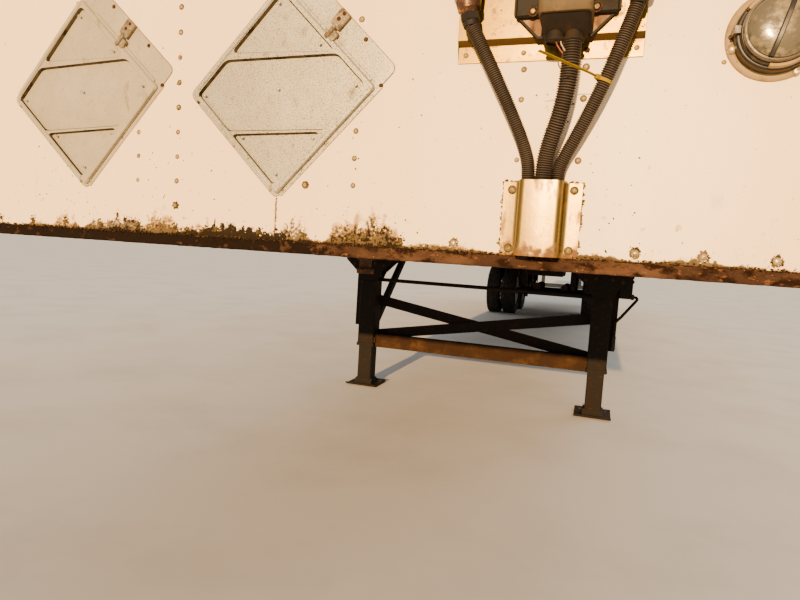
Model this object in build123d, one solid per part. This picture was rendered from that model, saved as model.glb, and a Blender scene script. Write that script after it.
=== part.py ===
"""Dry van semi trailer, parked on its landing legs.

Millimetres, +Z up. The nose faces -Y, the rear doors face +Y and +X is the
trailer's left side. The origin is the bottom centre of the whole vehicle, so
the tyres and the sand shoes stand on z = 0. Every node is written to
parts/NODE.step.
"""
import os
from collections import namedtuple
from math import cos, radians, sin, tan

from build123d import *

os.makedirs("parts", exist_ok=True)

# Whole vehicle
LENGTH = 16154          # front wall to rear frame
WIDTH = 2591            # over the bottom side rails
HEIGHT = 4115
NOSE_REACH = 92         # fittings in front of the front wall
REAR_REACH = 54         # hinges behind the rear frame

# Box body
FRAME_Z = 1190          # underside of coupler plate, side rails and floor beams
BEAM_H = 102            # floor beams and coupler channels
FLOOR_T = 30
RAIL_T = 40             # bottom side rail
RAIL_H = 150
WALL_INSET = 10.5       # side wall face, inside the face of the bottom rail
WALL_T = 35
FRONT_T = 50
SILL_H = 22             # front sill
SILL_LIP = 4            # the sill stands out in front of the wall
CORNER_R = 48
CORNER = CORNER_R + 7   # front corner post, seen from the front
CORNER_D = CORNER_R + 12
TOP_H = 110
TOP_T = 45
TOP_D = 80              # front header, fore and aft
ROOF_T = 30
REAR_D = 100            # rear sill, posts and header, fore and aft
POST_W = 70
HEADER_H = 125
BEAM_PITCH = 304.8
BEAM_FLANGE = 57
BEAM_WEB = 5

# Coupler and kingpin
COUPLER_END = 1620
COUPLER_W = 1400
PLATE_T = 8
KINGPIN_Y = 1219
KINGPIN_DROP = 84

# Rear doors
DOOR_T = 38
DOOR_GAP = 6
SILL_GAP = 12
HINGE_OUT = 40          # hinge pin behind the rear frame
HINGE_COUNT = 5
ROD_R = 13.5

# Landing gear
LEG_Y = 3800
LEG_X = WIDTH / 2 - 320.5
LEG_W = 150
LEG_BOTTOM = 360
WING_Z = 930            # foot of the wing plates on the legs
WING_HALF = 215
RIB_T = 46              # channel up the outer side of each leg
RIB_Z = 530
RAM_W = 127
SHOE_W = 280
SHOE_H = 58
BRACE_LOW = 454
BRACE_HIGH = 762
BRACE_H = 88

# Tandem
TANDEM_FROM_REAR = 3672
AXLE_PITCH = 1245
TYRE_R = 510
TYRE_W = 280
BEAD_R = 286
DUAL = 330              # between the middles of twin tyres
TRACK = WIDTH - 623     # between the middles of the twin pairs
SLIDER_X = 487
SLIDER_W = 76
SLIDER_H = 110
AXLE_R = 63.5
SPINDLE_R = 40

# Nose fittings: height of the front sill's underside is FRAME_Z
PLACARD_W = 297
PLACARD_H = 343
PLACARD_TILT = 46.5
HOSE_PLATE = (646.5, 950, 1542, 1902)
LOOM_COVER = (809.7, 131, 126, 73, 42)

HALF = WIDTH / 2
WALL_X = HALF - WALL_INSET
HINGE_X = WALL_X - 4.5
NOSE_Y = -(LENGTH + REAR_REACH - NOSE_REACH) / 2
FLOOR_Z = FRAME_Z + BEAM_H + FLOOR_T
RAIL_Z = FRAME_Z + RAIL_H
TOP_Z = HEIGHT - TOP_H
SILL_Z = FRAME_Z + SILL_H
HEADER_Z = HEIGHT - HEADER_H
REAR_Y = NOSE_Y + LENGTH
FRAME_Y = REAR_Y - REAR_D
TANDEM_Y = REAR_Y - TANDEM_FROM_REAR
SLIDER_Z = FRAME_Z - SLIDER_H

TURN = {"X": Rotation(0, 90, 0), "Y": Rotation(90, 0, 0), "Z": Rotation(0, 0, 0)}


def at(y):
    """A place along the trailer, measured back from the front wall."""
    return NOSE_Y + y


def block(x, y, z):
    """A box between two limits on each axis."""
    size = [abs(b - a) for a, b in (x, y, z)]
    return Pos(*[(a + b) / 2 for a, b in (x, y, z)]) * Box(*size)


def rod(axis, middle, radius, length):
    """A round bar along an axis."""
    return Pos(*middle) * TURN[axis] * Cylinder(radius, length)


def prism(axis, points, a, b):
    """A polygon drawn across an axis and drawn out from a to b along it."""
    plane = {"X": Plane.YZ.offset(a), "Y": Plane.XZ.offset(-b), "Z": Plane.XY.offset(a)}[axis]
    with BuildPart() as part:
        with BuildSketch(plane):
            with BuildLine():
                Polyline(*points, close=True)
            make_face()
        extrude(amount=b - a)
    return part.part


def turned(points, x):
    """A profile of (radius, offset) turned about a line along X through the axle."""
    with BuildPart() as part:
        with BuildSketch(Plane.XZ):
            with BuildLine():
                Polyline(*[(offset, radius) for radius, offset in points], close=True)
            make_face()
        revolve(axis=Axis.X)
    return Pos(*x) * part.part


def mirrored(solid):
    """The same piece on the other side of the trailer."""
    return solid.mirror(Plane.YZ)


def pair(solid):
    return [solid, mirrored(solid)]


def rounded(solid, radius, axis=Axis.Z, pick=None):
    """Round the edges that run along an axis, all of them or those picked."""
    edges = solid.edges().filter_by(axis)
    return fillet([e for e in edges if pick is None or pick(e.center())], radius)


def bends(points):
    """The radius at each corner of a hose, as large as its two runs allow."""
    radii = []
    for a, b, c in zip(points, points[1:], points[2:]):
        one, two = Vector(*b) - Vector(*a), Vector(*c) - Vector(*b)
        half = radians(one.get_angle(two)) / 2
        radii.append(0.45 * min(one.length, two.length) / tan(half))
    return radii


def tube(points, radius, bends):
    """A hose or bar of one radius along straight runs joined by tangent arcs."""
    path = FilletPolyline(*points, radius=bends)
    profile = Plane(origin=points[0], z_dir=Vector(*points[1]) - Vector(*points[0])) * Circle(radius)
    return sweep(profile, path=path)


def save(node, solids):
    """Write one node, each of its solids apart from the others."""
    found = []
    for piece in solids:
        found += list(piece.solids())
    export_step(Compound(children=found), "parts/%s.step" % node)
    print(node, len(found))


# Box body

front_wall = block((-HALF + CORNER + 5, HALF - CORNER - 5), (at(0), at(FRONT_T)), (SILL_Z, TOP_Z))
save("front_wall", [front_wall])

sill = block((-HALF + 5, HALF - 5), (at(-SILL_LIP), at(CORNER_D)), (FRAME_Z, SILL_Z))
save("front_sill", [rounded(sill, CORNER_R, pick=lambda c: c.Y < at(0))])

post = block((HALF - CORNER - 5, HALF - 5), (at(0), at(CORNER_D)), (SILL_Z, TOP_Z))
post = rounded(post, CORNER_R, pick=lambda c: c.Y < at(1) and c.X > HALF - 10)
save("front_posts", pair(post))

header = block((-HALF + 5, HALF - 5), (at(0), at(TOP_D)), (TOP_Z, HEIGHT))
save("front_header", [rounded(header, CORNER_R, pick=lambda c: c.Y < at(1))])

wall = block((WALL_X - WALL_T, WALL_X), (at(CORNER_D), FRAME_Y), (RAIL_Z, TOP_Z))
save("side_wall_left", [wall])
save("side_wall_right", [mirrored(wall)])

rail = block((HALF - RAIL_T, HALF), (at(CORNER_D), FRAME_Y), (FRAME_Z, RAIL_Z))
save("bottom_rails", pair(rail))

rail = block((HALF - 5 - TOP_T, HALF - 5), (at(TOP_D), FRAME_Y), (TOP_Z, HEIGHT))
save("top_rails", pair(rail))

inner = HALF - 5 - TOP_T
save("roof", [block((-inner, inner), (at(TOP_D), FRAME_Y), (HEIGHT - ROOF_T, HEIGHT))])

inner = HALF - RAIL_T
floor = block((-inner, inner), (at(CORNER_D), FRAME_Y), (FLOOR_Z - FLOOR_T, FLOOR_Z))
floor += block((-inner + 30, inner - 30), (at(FRONT_T), at(CORNER_D)), (FLOOR_Z - FLOOR_T, FLOOR_Z))
save("floor", [floor])


def i_beam(y):
    """A floor beam between the side rails."""
    f, w, h = BEAM_FLANGE / 2, BEAM_WEB / 2, BEAM_H
    half = [(f, 0), (f, 6), (w, 8), (w, h - 8), (f, h - 6), (f, h)]
    outline = [(y + a, FRAME_Z + b) for a, b in half]
    outline += [(y - a, FRAME_Z + b) for a, b in reversed(half)]
    return prism("X", outline, -inner, inner)


beam_count = int((FRAME_Y - at(COUPLER_END) - BEAM_FLANGE) // BEAM_PITCH)
BEAMS = [at(COUPLER_END) + 80 + n * BEAM_PITCH for n in range(beam_count)]
save("floor_beams", [i_beam(y) for y in BEAMS])


def near_beam(y):
    """The floor beam nearest to a place along the trailer."""
    return min(BEAMS, key=lambda beam: abs(beam - y))


# Coupler plate with its cross channels, and the kingpin under it

CHANNELS = (CORNER_D, 420, 780, 1060, 1320, 1540)
coupler = block((-COUPLER_W / 2, COUPLER_W / 2), (at(CORNER_D), at(COUPLER_END)),
                (FRAME_Z, FRAME_Z + PLATE_T))
for y in CHANNELS:
    channel = block((-inner, inner), (at(y), at(y + 70)), (FRAME_Z, FRAME_Z + BEAM_H))
    channel -= block((-inner, inner), (at(y + 8), at(y + 80)),
                     (FRAME_Z + PLATE_T, FRAME_Z + BEAM_H - PLATE_T))
    coupler += channel
coupler -= rod("Z", (0, at(KINGPIN_Y), FRAME_Z), 37, 4 * PLATE_T)
save("upper_coupler", [coupler])

kingpin = Pos(0, at(KINGPIN_Y), FRAME_Z + PLATE_T + 5) * Cylinder(60, 10)
kingpin += Pos(0, at(KINGPIN_Y), FRAME_Z - 13.5 + PLATE_T / 2) * Cylinder(36.5, 27 + PLATE_T)
kingpin += Pos(0, at(KINGPIN_Y), FRAME_Z - 45) * Cylinder(25.4, 36)
kingpin += Pos(0, at(KINGPIN_Y), FRAME_Z - KINGPIN_DROP / 2 - 31.5) * Cylinder(35.7, KINGPIN_DROP - 63)
save("kingpin", [kingpin])

# Rear frame and underride guard

cam_pads = [block((x - 35, x + 35), (REAR_Y, REAR_Y + 6), z)
            for x in (HINGE_X - 330, HINGE_X - 1130)
            for z in ((FRAME_Z + 30, FRAME_Z + 90), (HEADER_Z + 50, HEADER_Z + 105))]
rear_sill = block((-WALL_X, WALL_X), (FRAME_Y, REAR_Y), (FRAME_Z - 10, FLOOR_Z))
rear_header = block((-HALF + 5, HALF - 5), (FRAME_Y, REAR_Y), (HEADER_Z, HEIGHT))
for n, pad in enumerate(cam_pads):
    if n % 2 == 0:
        rear_sill += pair(pad)
    else:
        rear_header += pair(pad)
save("rear_sill", [rear_sill])
save("rear_header", [rear_header])

door_low = FLOOR_Z + SILL_GAP
door_high = HEADER_Z - SILL_GAP
hinge_heights = [door_low + 110 + n * (door_high - door_low - 220) / (HINGE_COUNT - 1)
                 for n in range(HINGE_COUNT)]

post = block((WALL_X - POST_W, WALL_X), (FRAME_Y, REAR_Y), (FLOOR_Z, HEADER_Z))
pin_y = REAR_Y + HINGE_OUT
for z in hinge_heights:
    for low in (z - 41, z + 31):
        ear = block((HINGE_X - 14, WALL_X), (REAR_Y, pin_y), (low, low + 10))
        post += ear + rod("Z", (HINGE_X, pin_y, low + 5), 14, 10) & block(
            (HINGE_X - 14, WALL_X), (REAR_Y, pin_y + 14), (low, low + 10))
save("rear_posts", pair(post))

guard = block((-HALF + 90, HALF - 90), (REAR_Y - 115, REAR_Y - 15), (450, 560))
for x in (-500, 500):
    guard += block((x - 50, x + 50), (REAR_Y - 95, REAR_Y - 35), (560, FRAME_Z - 10))
save("underride_guard", [guard])

# Rear doors

door_x = WALL_X - POST_W - DOOR_GAP
door = block((DOOR_GAP, door_x), (REAR_Y - DOOR_T, REAR_Y), (door_low, door_high))
save("door_left", [door])
save("door_right", [mirrored(door)])


def lock_rod(x, reach):
    """A lock rod with its cams, its guides and a handle that reaches sideways."""
    y = REAR_Y + 28
    low, high = FRAME_Z + 35, HEADER_Z + 100
    piece = rod("Z", (x, y, (low + high) / 2), ROD_R, high - low)
    for z in (low, high - 50):
        piece += block((x - 28, x + 20), (REAR_Y + 12, REAR_Y + 42), (z, z + 50))
    for n in range(4):
        z = door_low + 150 + n * (door_high - door_low - 300) / 3
        piece += block((x - 32, x + 32), (REAR_Y, y), (z - 25, z + 25))
    z = FLOOR_Z + 760
    piece += block((x, x + reach), (y + 4, y + 13), (z - 20, z + 20))
    end = x + reach
    piece += block((min(end, end - reach / 9), max(end, end - reach / 9)), (REAR_Y, y + 4), (z - 30, z + 30))
    return piece


def hinge_strap(z):
    """A strap on the door with its eye on the hinge line."""
    arm = [(HINGE_X - 280, REAR_Y), (door_x, REAR_Y), (HINGE_X - 8, pin_y - 10),
           (HINGE_X, pin_y + 11), (HINGE_X - 20, pin_y), (door_x - 8, REAR_Y + 9),
           (HINGE_X - 280, REAR_Y + 9)]
    return prism("Z", arm, z - 25, z + 25) + rod("Z", (HINGE_X, pin_y, z), 12, 50)


fittings = [lock_rod(HINGE_X - 330, -330), lock_rod(HINGE_X - 1130, 330)]
fittings += [hinge_strap(z) for z in hinge_heights]
save("door_fittings_left", fittings)
save("door_fittings_right", [mirrored(piece) for piece in fittings])

# Landing gear

leg_y = at(LEG_Y)
leg = block((LEG_X - LEG_W / 2, LEG_X + LEG_W / 2), (leg_y - LEG_W / 2, leg_y + LEG_W / 2),
            (LEG_BOTTOM, FRAME_Z - 70))
leg = rounded(leg, 12)
leg -= block((LEG_X - RAM_W / 2 - 2, LEG_X + RAM_W / 2 + 2),
             (leg_y - RAM_W / 2 - 2, leg_y + RAM_W / 2 + 2), (LEG_BOTTOM, FRAME_Z - 300))
leg += block((LEG_X - 95, LEG_X + 95), (leg_y - 160, leg_y + 160), (FRAME_Z - 70, FRAME_Z))
half = LEG_W / 2
for y in (leg_y - half - 4, leg_y + half + 4):
    wing = [(half, WING_Z), (WING_HALF - 110, WING_Z + 75), (WING_HALF, FRAME_Z - 80),
            (WING_HALF, FRAME_Z - 50)]
    wing += [(-x, z) for x, z in reversed(wing)]
    leg += prism("Y", [(LEG_X + x, z) for x, z in wing], y - 4, y + 4)
outer = LEG_X + half
leg += block((outer - 1, outer + RIB_T), (leg_y - 30, leg_y + 30), (RIB_Z, FRAME_Z - 70))
save("landing_legs", pair(leg))

ram = block((LEG_X - RAM_W / 2, LEG_X + RAM_W / 2), (leg_y - RAM_W / 2, leg_y + RAM_W / 2),
            (SHOE_H, FRAME_Z - 300))
ram = rounded(ram, 10)

shoe_half = SHOE_W / 2
shoe = prism("X", [(leg_y - shoe_half, 16), (leg_y - shoe_half + 34, 0), (leg_y + shoe_half - 34, 0),
                   (leg_y + shoe_half, 16), (leg_y + shoe_half, 26), (leg_y + shoe_half - 40, 12),
                   (leg_y + 75, 12), (leg_y + 60, SHOE_H), (leg_y - 60, SHOE_H), (leg_y - 75, 12),
                   (leg_y - shoe_half + 40, 12), (leg_y - shoe_half, 26)],
             LEG_X - shoe_half, LEG_X + shoe_half)
shoe -= block((LEG_X - shoe_half - 1, LEG_X - 78), (leg_y - 90, leg_y + 90), (12, SHOE_H + 1))
shoe -= block((LEG_X + 78, LEG_X + shoe_half + 1), (leg_y - 90, leg_y + 90), (12, SHOE_H + 1))
save("landing_feet", pair(ram + shoe))

span = LEG_X - LEG_W / 2
beam = block((-span, span), (leg_y - 30, leg_y + 30), (LEG_BOTTOM - 15, LEG_BOTTOM + 105))
beam -= block((-span, span), (leg_y - 24, leg_y + 31), (LEG_BOTTOM - 9, LEG_BOTTOM + 99))
save("landing_beam", [beam])

h = BRACE_H / 2
brace = [(-span, BRACE_LOW - h), (span, BRACE_HIGH - h), (span, BRACE_HIGH + h), (-span, BRACE_LOW + h)]
braces = [prism("Y", brace, leg_y + 34, leg_y + 42)]
brace = [(-x, z) for x, z in reversed(brace)]
braces.append(prism("Y", brace, leg_y + 48, leg_y + 56))

back = leg_y + LEG_W / 2
top = near_beam(back + 870)
stay = prism("X", [(back, 440), (back, 520), (top - 60, FRAME_Z), (top + 30, FRAME_Z)],
             LEG_X - 25, LEG_X + 25)
save("landing_braces", braces + pair(stay))

gear_z = FRAME_Z - 227
outer += RIB_T
gearbox = rounded(block((outer, outer + 90), (leg_y - 62, leg_y + 62), (gear_z - 15, gear_z + 137)), 14,
                  Axis.X)
gearbox += rod("X", (outer + 97, leg_y, gear_z), 22, 20)
save("landing_gearbox", [gearbox])
save("cross_shaft", [rod("X", (0, leg_y, FRAME_Z - 245), 16, 2 * span)])

# The crank is folded back on itself, its grip hanging in front of the leg's channel
out = outer + 107
save("crank_handle", [tube([(out, leg_y, gear_z), (out + 38, leg_y, gear_z),
                            (out - 84, leg_y - 50, gear_z - 160), (out - 120, leg_y - 52, gear_z - 200),
                            (out - 120, leg_y - 52, gear_z - 420)], 11, 15)])

# Tandem: sliding frame, hangers, springs, axles and brakes

slider_front, slider_back = TANDEM_Y - 1280, TANDEM_Y + 1470
frame = None
for side in (-1, 1):
    x = side * SLIDER_X
    rail = block((x - SLIDER_W / 2, x + SLIDER_W / 2), (slider_front, slider_back), (SLIDER_Z, FRAME_Z))
    reach = (x + side * SLIDER_W / 2, side * (HALF - 30))
    rail += block((min(reach), max(reach)), (TANDEM_Y + 1275, TANDEM_Y + 1305), (SLIDER_Z, SLIDER_Z + 40))
    frame = rail if frame is None else frame + rail
for y in (-1180, -400, 400, 1180):
    frame += block((-SLIDER_X, SLIDER_X), (TANDEM_Y + y - 40, TANDEM_Y + y + 40),
                   (SLIDER_Z + 10, SLIDER_Z + 90))
save("slider_frame", [frame])

# The springs bear on the hangers at SPRING_END and on the axle seats at SEAT_Z.
SPRING_END = TYRE_R + 205
SEAT_Z = TYRE_R + AXLE_R + 26
LEAF_W = 72
half_span = AXLE_PITCH / 2


def hanger(y):
    """A hanger with cheeks either side of the spring ends."""
    cheek = [(y - 85, SPRING_END - 70), (y + 85, SPRING_END - 70), (y + 120, SLIDER_Z), (y - 120, SLIDER_Z)]
    piece = prism("X", cheek, SLIDER_X - 50, SLIDER_X + 50)
    return piece - block((SLIDER_X - 40, SLIDER_X + 40), (y - 200, y + 200),
                         (SPRING_END - 80, SPRING_END))


hangers = []
for y in (-AXLE_PITCH, 0, AXLE_PITCH):
    hangers += pair(hanger(TANDEM_Y + y * 0.965))
save("spring_hangers", hangers)

AxleRow = namedtuple("AxleRow", "name y")
AXLES = (AxleRow("front", TANDEM_Y - half_span), AxleRow("rear", TANDEM_Y + half_span))

springs, axles, chambers = [], [], []
for axle in AXLES:
    a, b = half_span * 0.93, half_span * 0.5
    top = [(axle.y - a, SPRING_END), (axle.y - b, SPRING_END - 36), (axle.y, SPRING_END - 52),
           (axle.y + b, SPRING_END - 36), (axle.y + a, SPRING_END)]
    low = [(axle.y + a, SPRING_END - 14), (axle.y + b, SPRING_END - 62), (axle.y + 90, SEAT_Z),
           (axle.y - 90, SEAT_Z), (axle.y - b, SPRING_END - 62), (axle.y - a, SPRING_END - 14)]
    springs += pair(prism("X", top + low, SLIDER_X - LEAF_W / 2, SLIDER_X + LEAF_W / 2))

    beam = rod("X", (0, axle.y, TYRE_R), AXLE_R, TRACK - 548)
    beam += rod("X", (0, axle.y, TYRE_R), SPINDLE_R, TRACK + 252)
    for side in (-1, 1):
        x = side * SLIDER_X
        beam += block((x - 50, x + 50), (axle.y - 80, axle.y + 80), (TYRE_R + 40, SEAT_Z))
    axles.append(beam)

    arm = block((288, 312), (axle.y, axle.y + 88), (TYRE_R + 10, TYRE_R + 80))
    arm += block((235, 365), (axle.y + 76, axle.y + 88), (TYRE_R + 10, TYRE_R + 160))
    arm -= rod("X", (300, axle.y, TYRE_R), AXLE_R, 40)
    chamber = rod("Y", (300, axle.y + 188, TYRE_R + 95), 82, 200)
    chamber += rod("Y", (300, axle.y + 178, TYRE_R + 95), 91, 22)
    chambers += pair(arm + chamber)
save("leaf_springs", springs)
save("axles", axles)
save("brake_chambers", chambers)

tanks = []
for y in (near_beam(TANDEM_Y - 2250), near_beam(TANDEM_Y - 1650)):
    tank = rod("X", (0, y, FRAME_Z - 160), 120, 700)
    tank = fillet(tank.edges(), 38)
    for x in (-230, 230):
        strap = block((x - 22, x + 22), (y - 60, y + 60), (FRAME_Z - 160, FRAME_Z))
        tank += strap
    tanks.append(tank)
save("air_tanks", tanks)

flap = block((TRACK / 2 - 324, HALF - 30), (TANDEM_Y + 1305, TANDEM_Y + 1313), (270, SLIDER_Z + 40))
save("mud_flaps", pair(flap))

# Wheels: the twin tyres, the two rims and the hub with its drum turn together

RIM_HALF = 115
PILOT_R = 110


def tyre(x, y):
    """A tyre with rounded shoulders and sidewalls that swell between bead and tread."""
    w, r = TYRE_W / 2, TYRE_R
    bead = RIM_HALF - 17
    wall = r - BEAD_R
    half = [(BEAD_R, bead), (BEAD_R + 15, bead + 8), (BEAD_R + 17, bead + 20), (BEAD_R + 32, w - 9),
            (BEAD_R + 0.32 * wall, w), (BEAD_R + 0.54 * wall, w), (BEAD_R + 0.79 * wall, w - 8),
            (r - 14, w - 22), (r, w - 42)]
    outline = half + [(radius, -offset) for radius, offset in reversed(half)]
    return turned(outline, (x, y, TYRE_R))


def rim(x, y, face):
    """A rim with its disc against the mounting face; face is -1 or +1 towards it."""
    flat = TRACK / 2 - x if face > 0 else x - TRACK / 2
    flat = (abs(flat) - 0.5) * face
    t = 11 * face
    w = RIM_HALF
    outline = [(BEAD_R + 14, -w), (BEAD_R + 14, -w + 8), (BEAD_R, -w + 16), (BEAD_R, w - 16),
               (BEAD_R + 14, w - 8), (BEAD_R + 14, w), (BEAD_R - 12, w), (BEAD_R - 24, w - 40),
               (BEAD_R - 24, -w + 40), (BEAD_R - 12, -w)]
    barrel = turned(outline, (x, y, TYRE_R))
    disc = turned([(PILOT_R, flat), (200, flat), (BEAD_R - 22, w * face - 40 * face),
                   (BEAD_R - 22, w * face - 40 * face - t * 1.4), (196, flat - t), (PILOT_R, flat - t)],
                  (x, y, TYRE_R))
    return barrel + disc


def hub(y):
    """A hub with its drum on the inner side and a cap over the bearing."""
    face = TRACK / 2
    outline = [(206, face - 194), (215, face - 194), (215, face - 80), (188, face - 62), (188, face - 11.5),
               (PILOT_R, face - 11.5), (PILOT_R, face + 11.5),
               (92, face + 14), (84, face + 120), (70, face + 128), (66, face + 172), (0, face + 172),
               (0, face + 140), (48, face + 140), (48, face - 75), (84, face - 75), (84, face - 23), (176, face - 23),
               (176, face - 66), (206, face - 84)]
    piece = turned(outline, (0, y, TYRE_R))
    for n in range(10):
        turn = radians(36 * n)
        stud = (face + 12, y + 142 * cos(turn), TYRE_R + 142 * sin(turn))
        piece += rod("X", stud, 11, 48)
    return piece


def drilled(solid, y):
    """Stud holes and hand holes through a wheel disc."""
    for radius, hole, first, length in ((142, 11, 0, 60), (231, 23, 18, 240)):
        for n in range(10):
            turn = radians(first + 36 * n)
            middle = (TRACK / 2, y + radius * cos(turn), TYRE_R + radius * sin(turn))
            solid -= rod("X", middle, hole, length)
    return solid


for axle in AXLES:
    inner_x, outer_x = (TRACK - DUAL) / 2, (TRACK + DUAL) / 2
    tyres = [tyre(inner_x, axle.y), tyre(outer_x, axle.y)]
    rims = [drilled(rim(inner_x, axle.y, 1), axle.y), drilled(rim(outer_x, axle.y, -1), axle.y)]
    hubs = [hub(axle.y)]
    for side in ("left", "right"):
        for kind, solids in (("tyres", tyres), ("rims", rims), ("hub", hubs)):
            placed = solids if side == "left" else [mirrored(piece) for piece in solids]
            save("%s_%s_%s" % (kind, axle.name, side), placed)

# Lamps: x and z of each on its face; those on the sides are given along the trailer

lamps = [rod("Y", (x, at(-9), HEIGHT - 55), 32, 18) for x in (145.5 - HALF, -155, 0, 155, HALF - 145.5)]
for y in (300, LENGTH / 2):
    lamps += pair(rod("X", (WALL_X + WALL_INSET / 2, at(y), RAIL_Z + 90), 32, WALL_INSET))
save("amber_lamps", lamps)

lamps = [rod("Y", (x, REAR_Y + 6, HEIGHT - 55), 32, 12) for x in (85.5 - HALF, -75, 0, 75, HALF - 85.5)]
lamps += [rod("Y", (x, REAR_Y + 6, FRAME_Z + 58), 52, 12) for x in (-760, -620, 620, 760)]
lamps += pair(rod("X", (WALL_X + WALL_INSET / 2, REAR_Y - 260, RAIL_Z + 90), 32, WALL_INSET))
save("red_lamps", lamps)

# Nose fittings

Placard = namedtuple("Placard", "x z tilt")
PLACARDS = (Placard(-188, 1530, PLACARD_TILT + 1), Placard(307, 1522, PLACARD_TILT - 1))
holders = []
for row in PLACARDS:
    w, h = PLACARD_W / 2, PLACARD_H / 2
    piece = rounded(block((-w, w), (-2, 0), (-h, h)), 14, Axis.Y)
    for x in (-w + 14, w - 14):
        piece += block((x - 6, x + 6), (-7, -2), (-h + 22, h - 40))
    piece += block((-w + 26, w - 26), (-7, -2), (-h + 8, -h + 20))
    holders.append(Pos(row.x, at(0), row.z) * Rotation(0, 90 - row.tilt, 0) * piece)
save("placard_holders", holders)

x0, x1, z0, z1 = HOSE_PLATE
FLANGE, RISE, SHEET = 31, 14, 2.5
profile = [(0, z0), (0, z0 + FLANGE - 4), (-RISE + SHEET, z0 + FLANGE + 4), (-RISE + SHEET, z1 - FLANGE - 4),
           (0, z1 - FLANGE + 4), (0, z1), (-SHEET, z1), (-SHEET, z1 - FLANGE + 3),
           (-RISE, z1 - FLANGE - 4), (-RISE, z0 + FLANGE + 4), (-SHEET, z0 + FLANGE - 3), (-SHEET, z0)]
save("hose_plate", [prism("X", [(at(y), z) for y, z in profile], x0, x1)])

SOCKET_X, SOCKET_Z = 826, 1655.5
OCT, CUT = 82.5, 40
octagon = [(-OCT, -OCT + CUT), (-OCT + CUT, -OCT), (OCT - CUT, -OCT), (OCT, -OCT + CUT),
           (OCT, OCT - CUT), (OCT - CUT, OCT), (-OCT + CUT, OCT), (-OCT, OCT - CUT)]
octagon = [(SOCKET_X + x, SOCKET_Z + z) for x, z in octagon]
save("socket_plate", [prism("Y", octagon, at(-RISE - 6), at(-RISE))])

box_z = 1568
face_y = -RISE - 6
socket = prism("X", [(at(face_y), box_z), (at(-66), box_z), (at(-88), box_z + 26), (at(-NOSE_REACH), box_z + 70),
                     (at(-84), box_z + 118), (at(face_y), box_z + 132)], SOCKET_X - 38, SOCKET_X + 42)
for x in (SOCKET_X - 18, SOCKET_X + 16):
    socket += rod("Z", (x, at(-50), box_z - 5), 14, 18)
save("electrical_socket", [socket])

# Conduit looms from the fittings down behind their cover: the radius and the points
# of the middle line, y measured back from the front wall.
COVER_X, COVER_W, COVER_H, BOX_W, BOX_D = LOOM_COVER
foot = SILL_Z + 5
Loom = namedtuple("Loom", "radius points")
LOOMS = (
    Loom(11, ((676, -48, 1592), (714, -47, 1522), (749, -38, 1456), (775, -22, 1400),
              (787.2, -13, 1354), (787.2, -13, foot))),
    Loom(14, ((842, -50, 1554), (842, -50, 1504), (832, -44, 1444), (815, -29, 1392),
              (809.8, -24.5, 1352), (809.8, -24.5, foot))),
    Loom(11, ((935, -48, 1611), (915, -50, 1545), (890, -44, 1478), (861, -30, 1415),
              (839, -17, 1374), (832.4, -13, 1348), (832.4, -13, foot))),
)
looms = []
for row in LOOMS:
    points = [(x, at(y), z) for x, y, z in row.points]
    radii = bends(points)
    looms.append(tube(points, row.radius, radii))
    print("loom bends", [round(r) for r in radii])
save("looms", looms)

# Gladhands on the hose plate, each with a fitting that runs on into its loom
hands = []
for row in (LOOMS[0], LOOMS[2]):
    start, after = [Vector(x, at(y), z) for x, y, z in row.points[:2]]
    back = (start - after).normalized()
    piece = Plane(origin=start + back * 15, z_dir=back) * Cylinder(15, 30)
    y = start.Y
    x, z = start.X + back.X * 24, start.Z + 14
    piece += rounded(block((x - 20, x + 20), (y - 18, y + 18), (z, z + 66)), 9)
    piece += rod("Y", (x, y - 5, z + 72), 32, 34)
    piece += block((x - 16, x + 16), (y + 12, at(-RISE)), (z + 43, z + 83))
    hands.append(piece)
save("gladhands", hands)

x0, x1 = COVER_X - COVER_W / 2, COVER_X + COVER_W / 2
b0, b1 = COVER_X - BOX_W / 2, COVER_X + BOX_W / 2
t = 2
section = [(x0, 0), (x0, -t), (b0, -t), (b0, -BOX_D + 9), (b0 + 9, -BOX_D), (b1 - 9, -BOX_D),
           (b1, -BOX_D + 9), (b1, -t), (x1, -t), (x1, 0), (b1 - t, 0), (b1 - t, -BOX_D + 10),
           (b1 - 10, -BOX_D + t), (b0 + 10, -BOX_D + t), (b0 + t, -BOX_D + 10), (b0 + t, 0)]
section = [(x, at(y)) for x, y in section]
save("loom_cover", [prism("Z", section, SILL_Z + 1, SILL_Z + 1 + COVER_H)])

DOC_X, DOC_Z = 1132, 1563
holder = rod("Y", (DOC_X, at(-2), DOC_Z), 69, 4)
holder += rod("Y", (DOC_X, at(-13), DOC_Z), 58, 18)
holder += rod("Y", (DOC_X, at(-25), DOC_Z), 52, 10)
for turn in (30, 150, 270):
    spot = (DOC_X + 55 * cos(radians(turn)), at(-18), DOC_Z + 55 * sin(radians(turn)))
    holder += rod("Y", spot, 8, 12)
save("document_holder", [holder])

cap = rod("Y", (DOC_X, at(-39), DOC_Z), 49, 18)
cap = fillet(cap.edges().filter_by(GeomType.CIRCLE).sort_by(Axis.Y)[0], 12)
cap += Pos(DOC_X, at(-50), DOC_Z) * Rotation(0, -55, 0) * Box(92, 12, 16)
save("document_cap", [cap])
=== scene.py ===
from collections import namedtuple
from math import cos, exp, pi, radians, sin

import bmesh
import bpy
import numpy as np
from bpy.props import FloatProperty, FloatVectorProperty, PointerProperty
from mathutils import Matrix, Vector, geometry, noise


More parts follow.
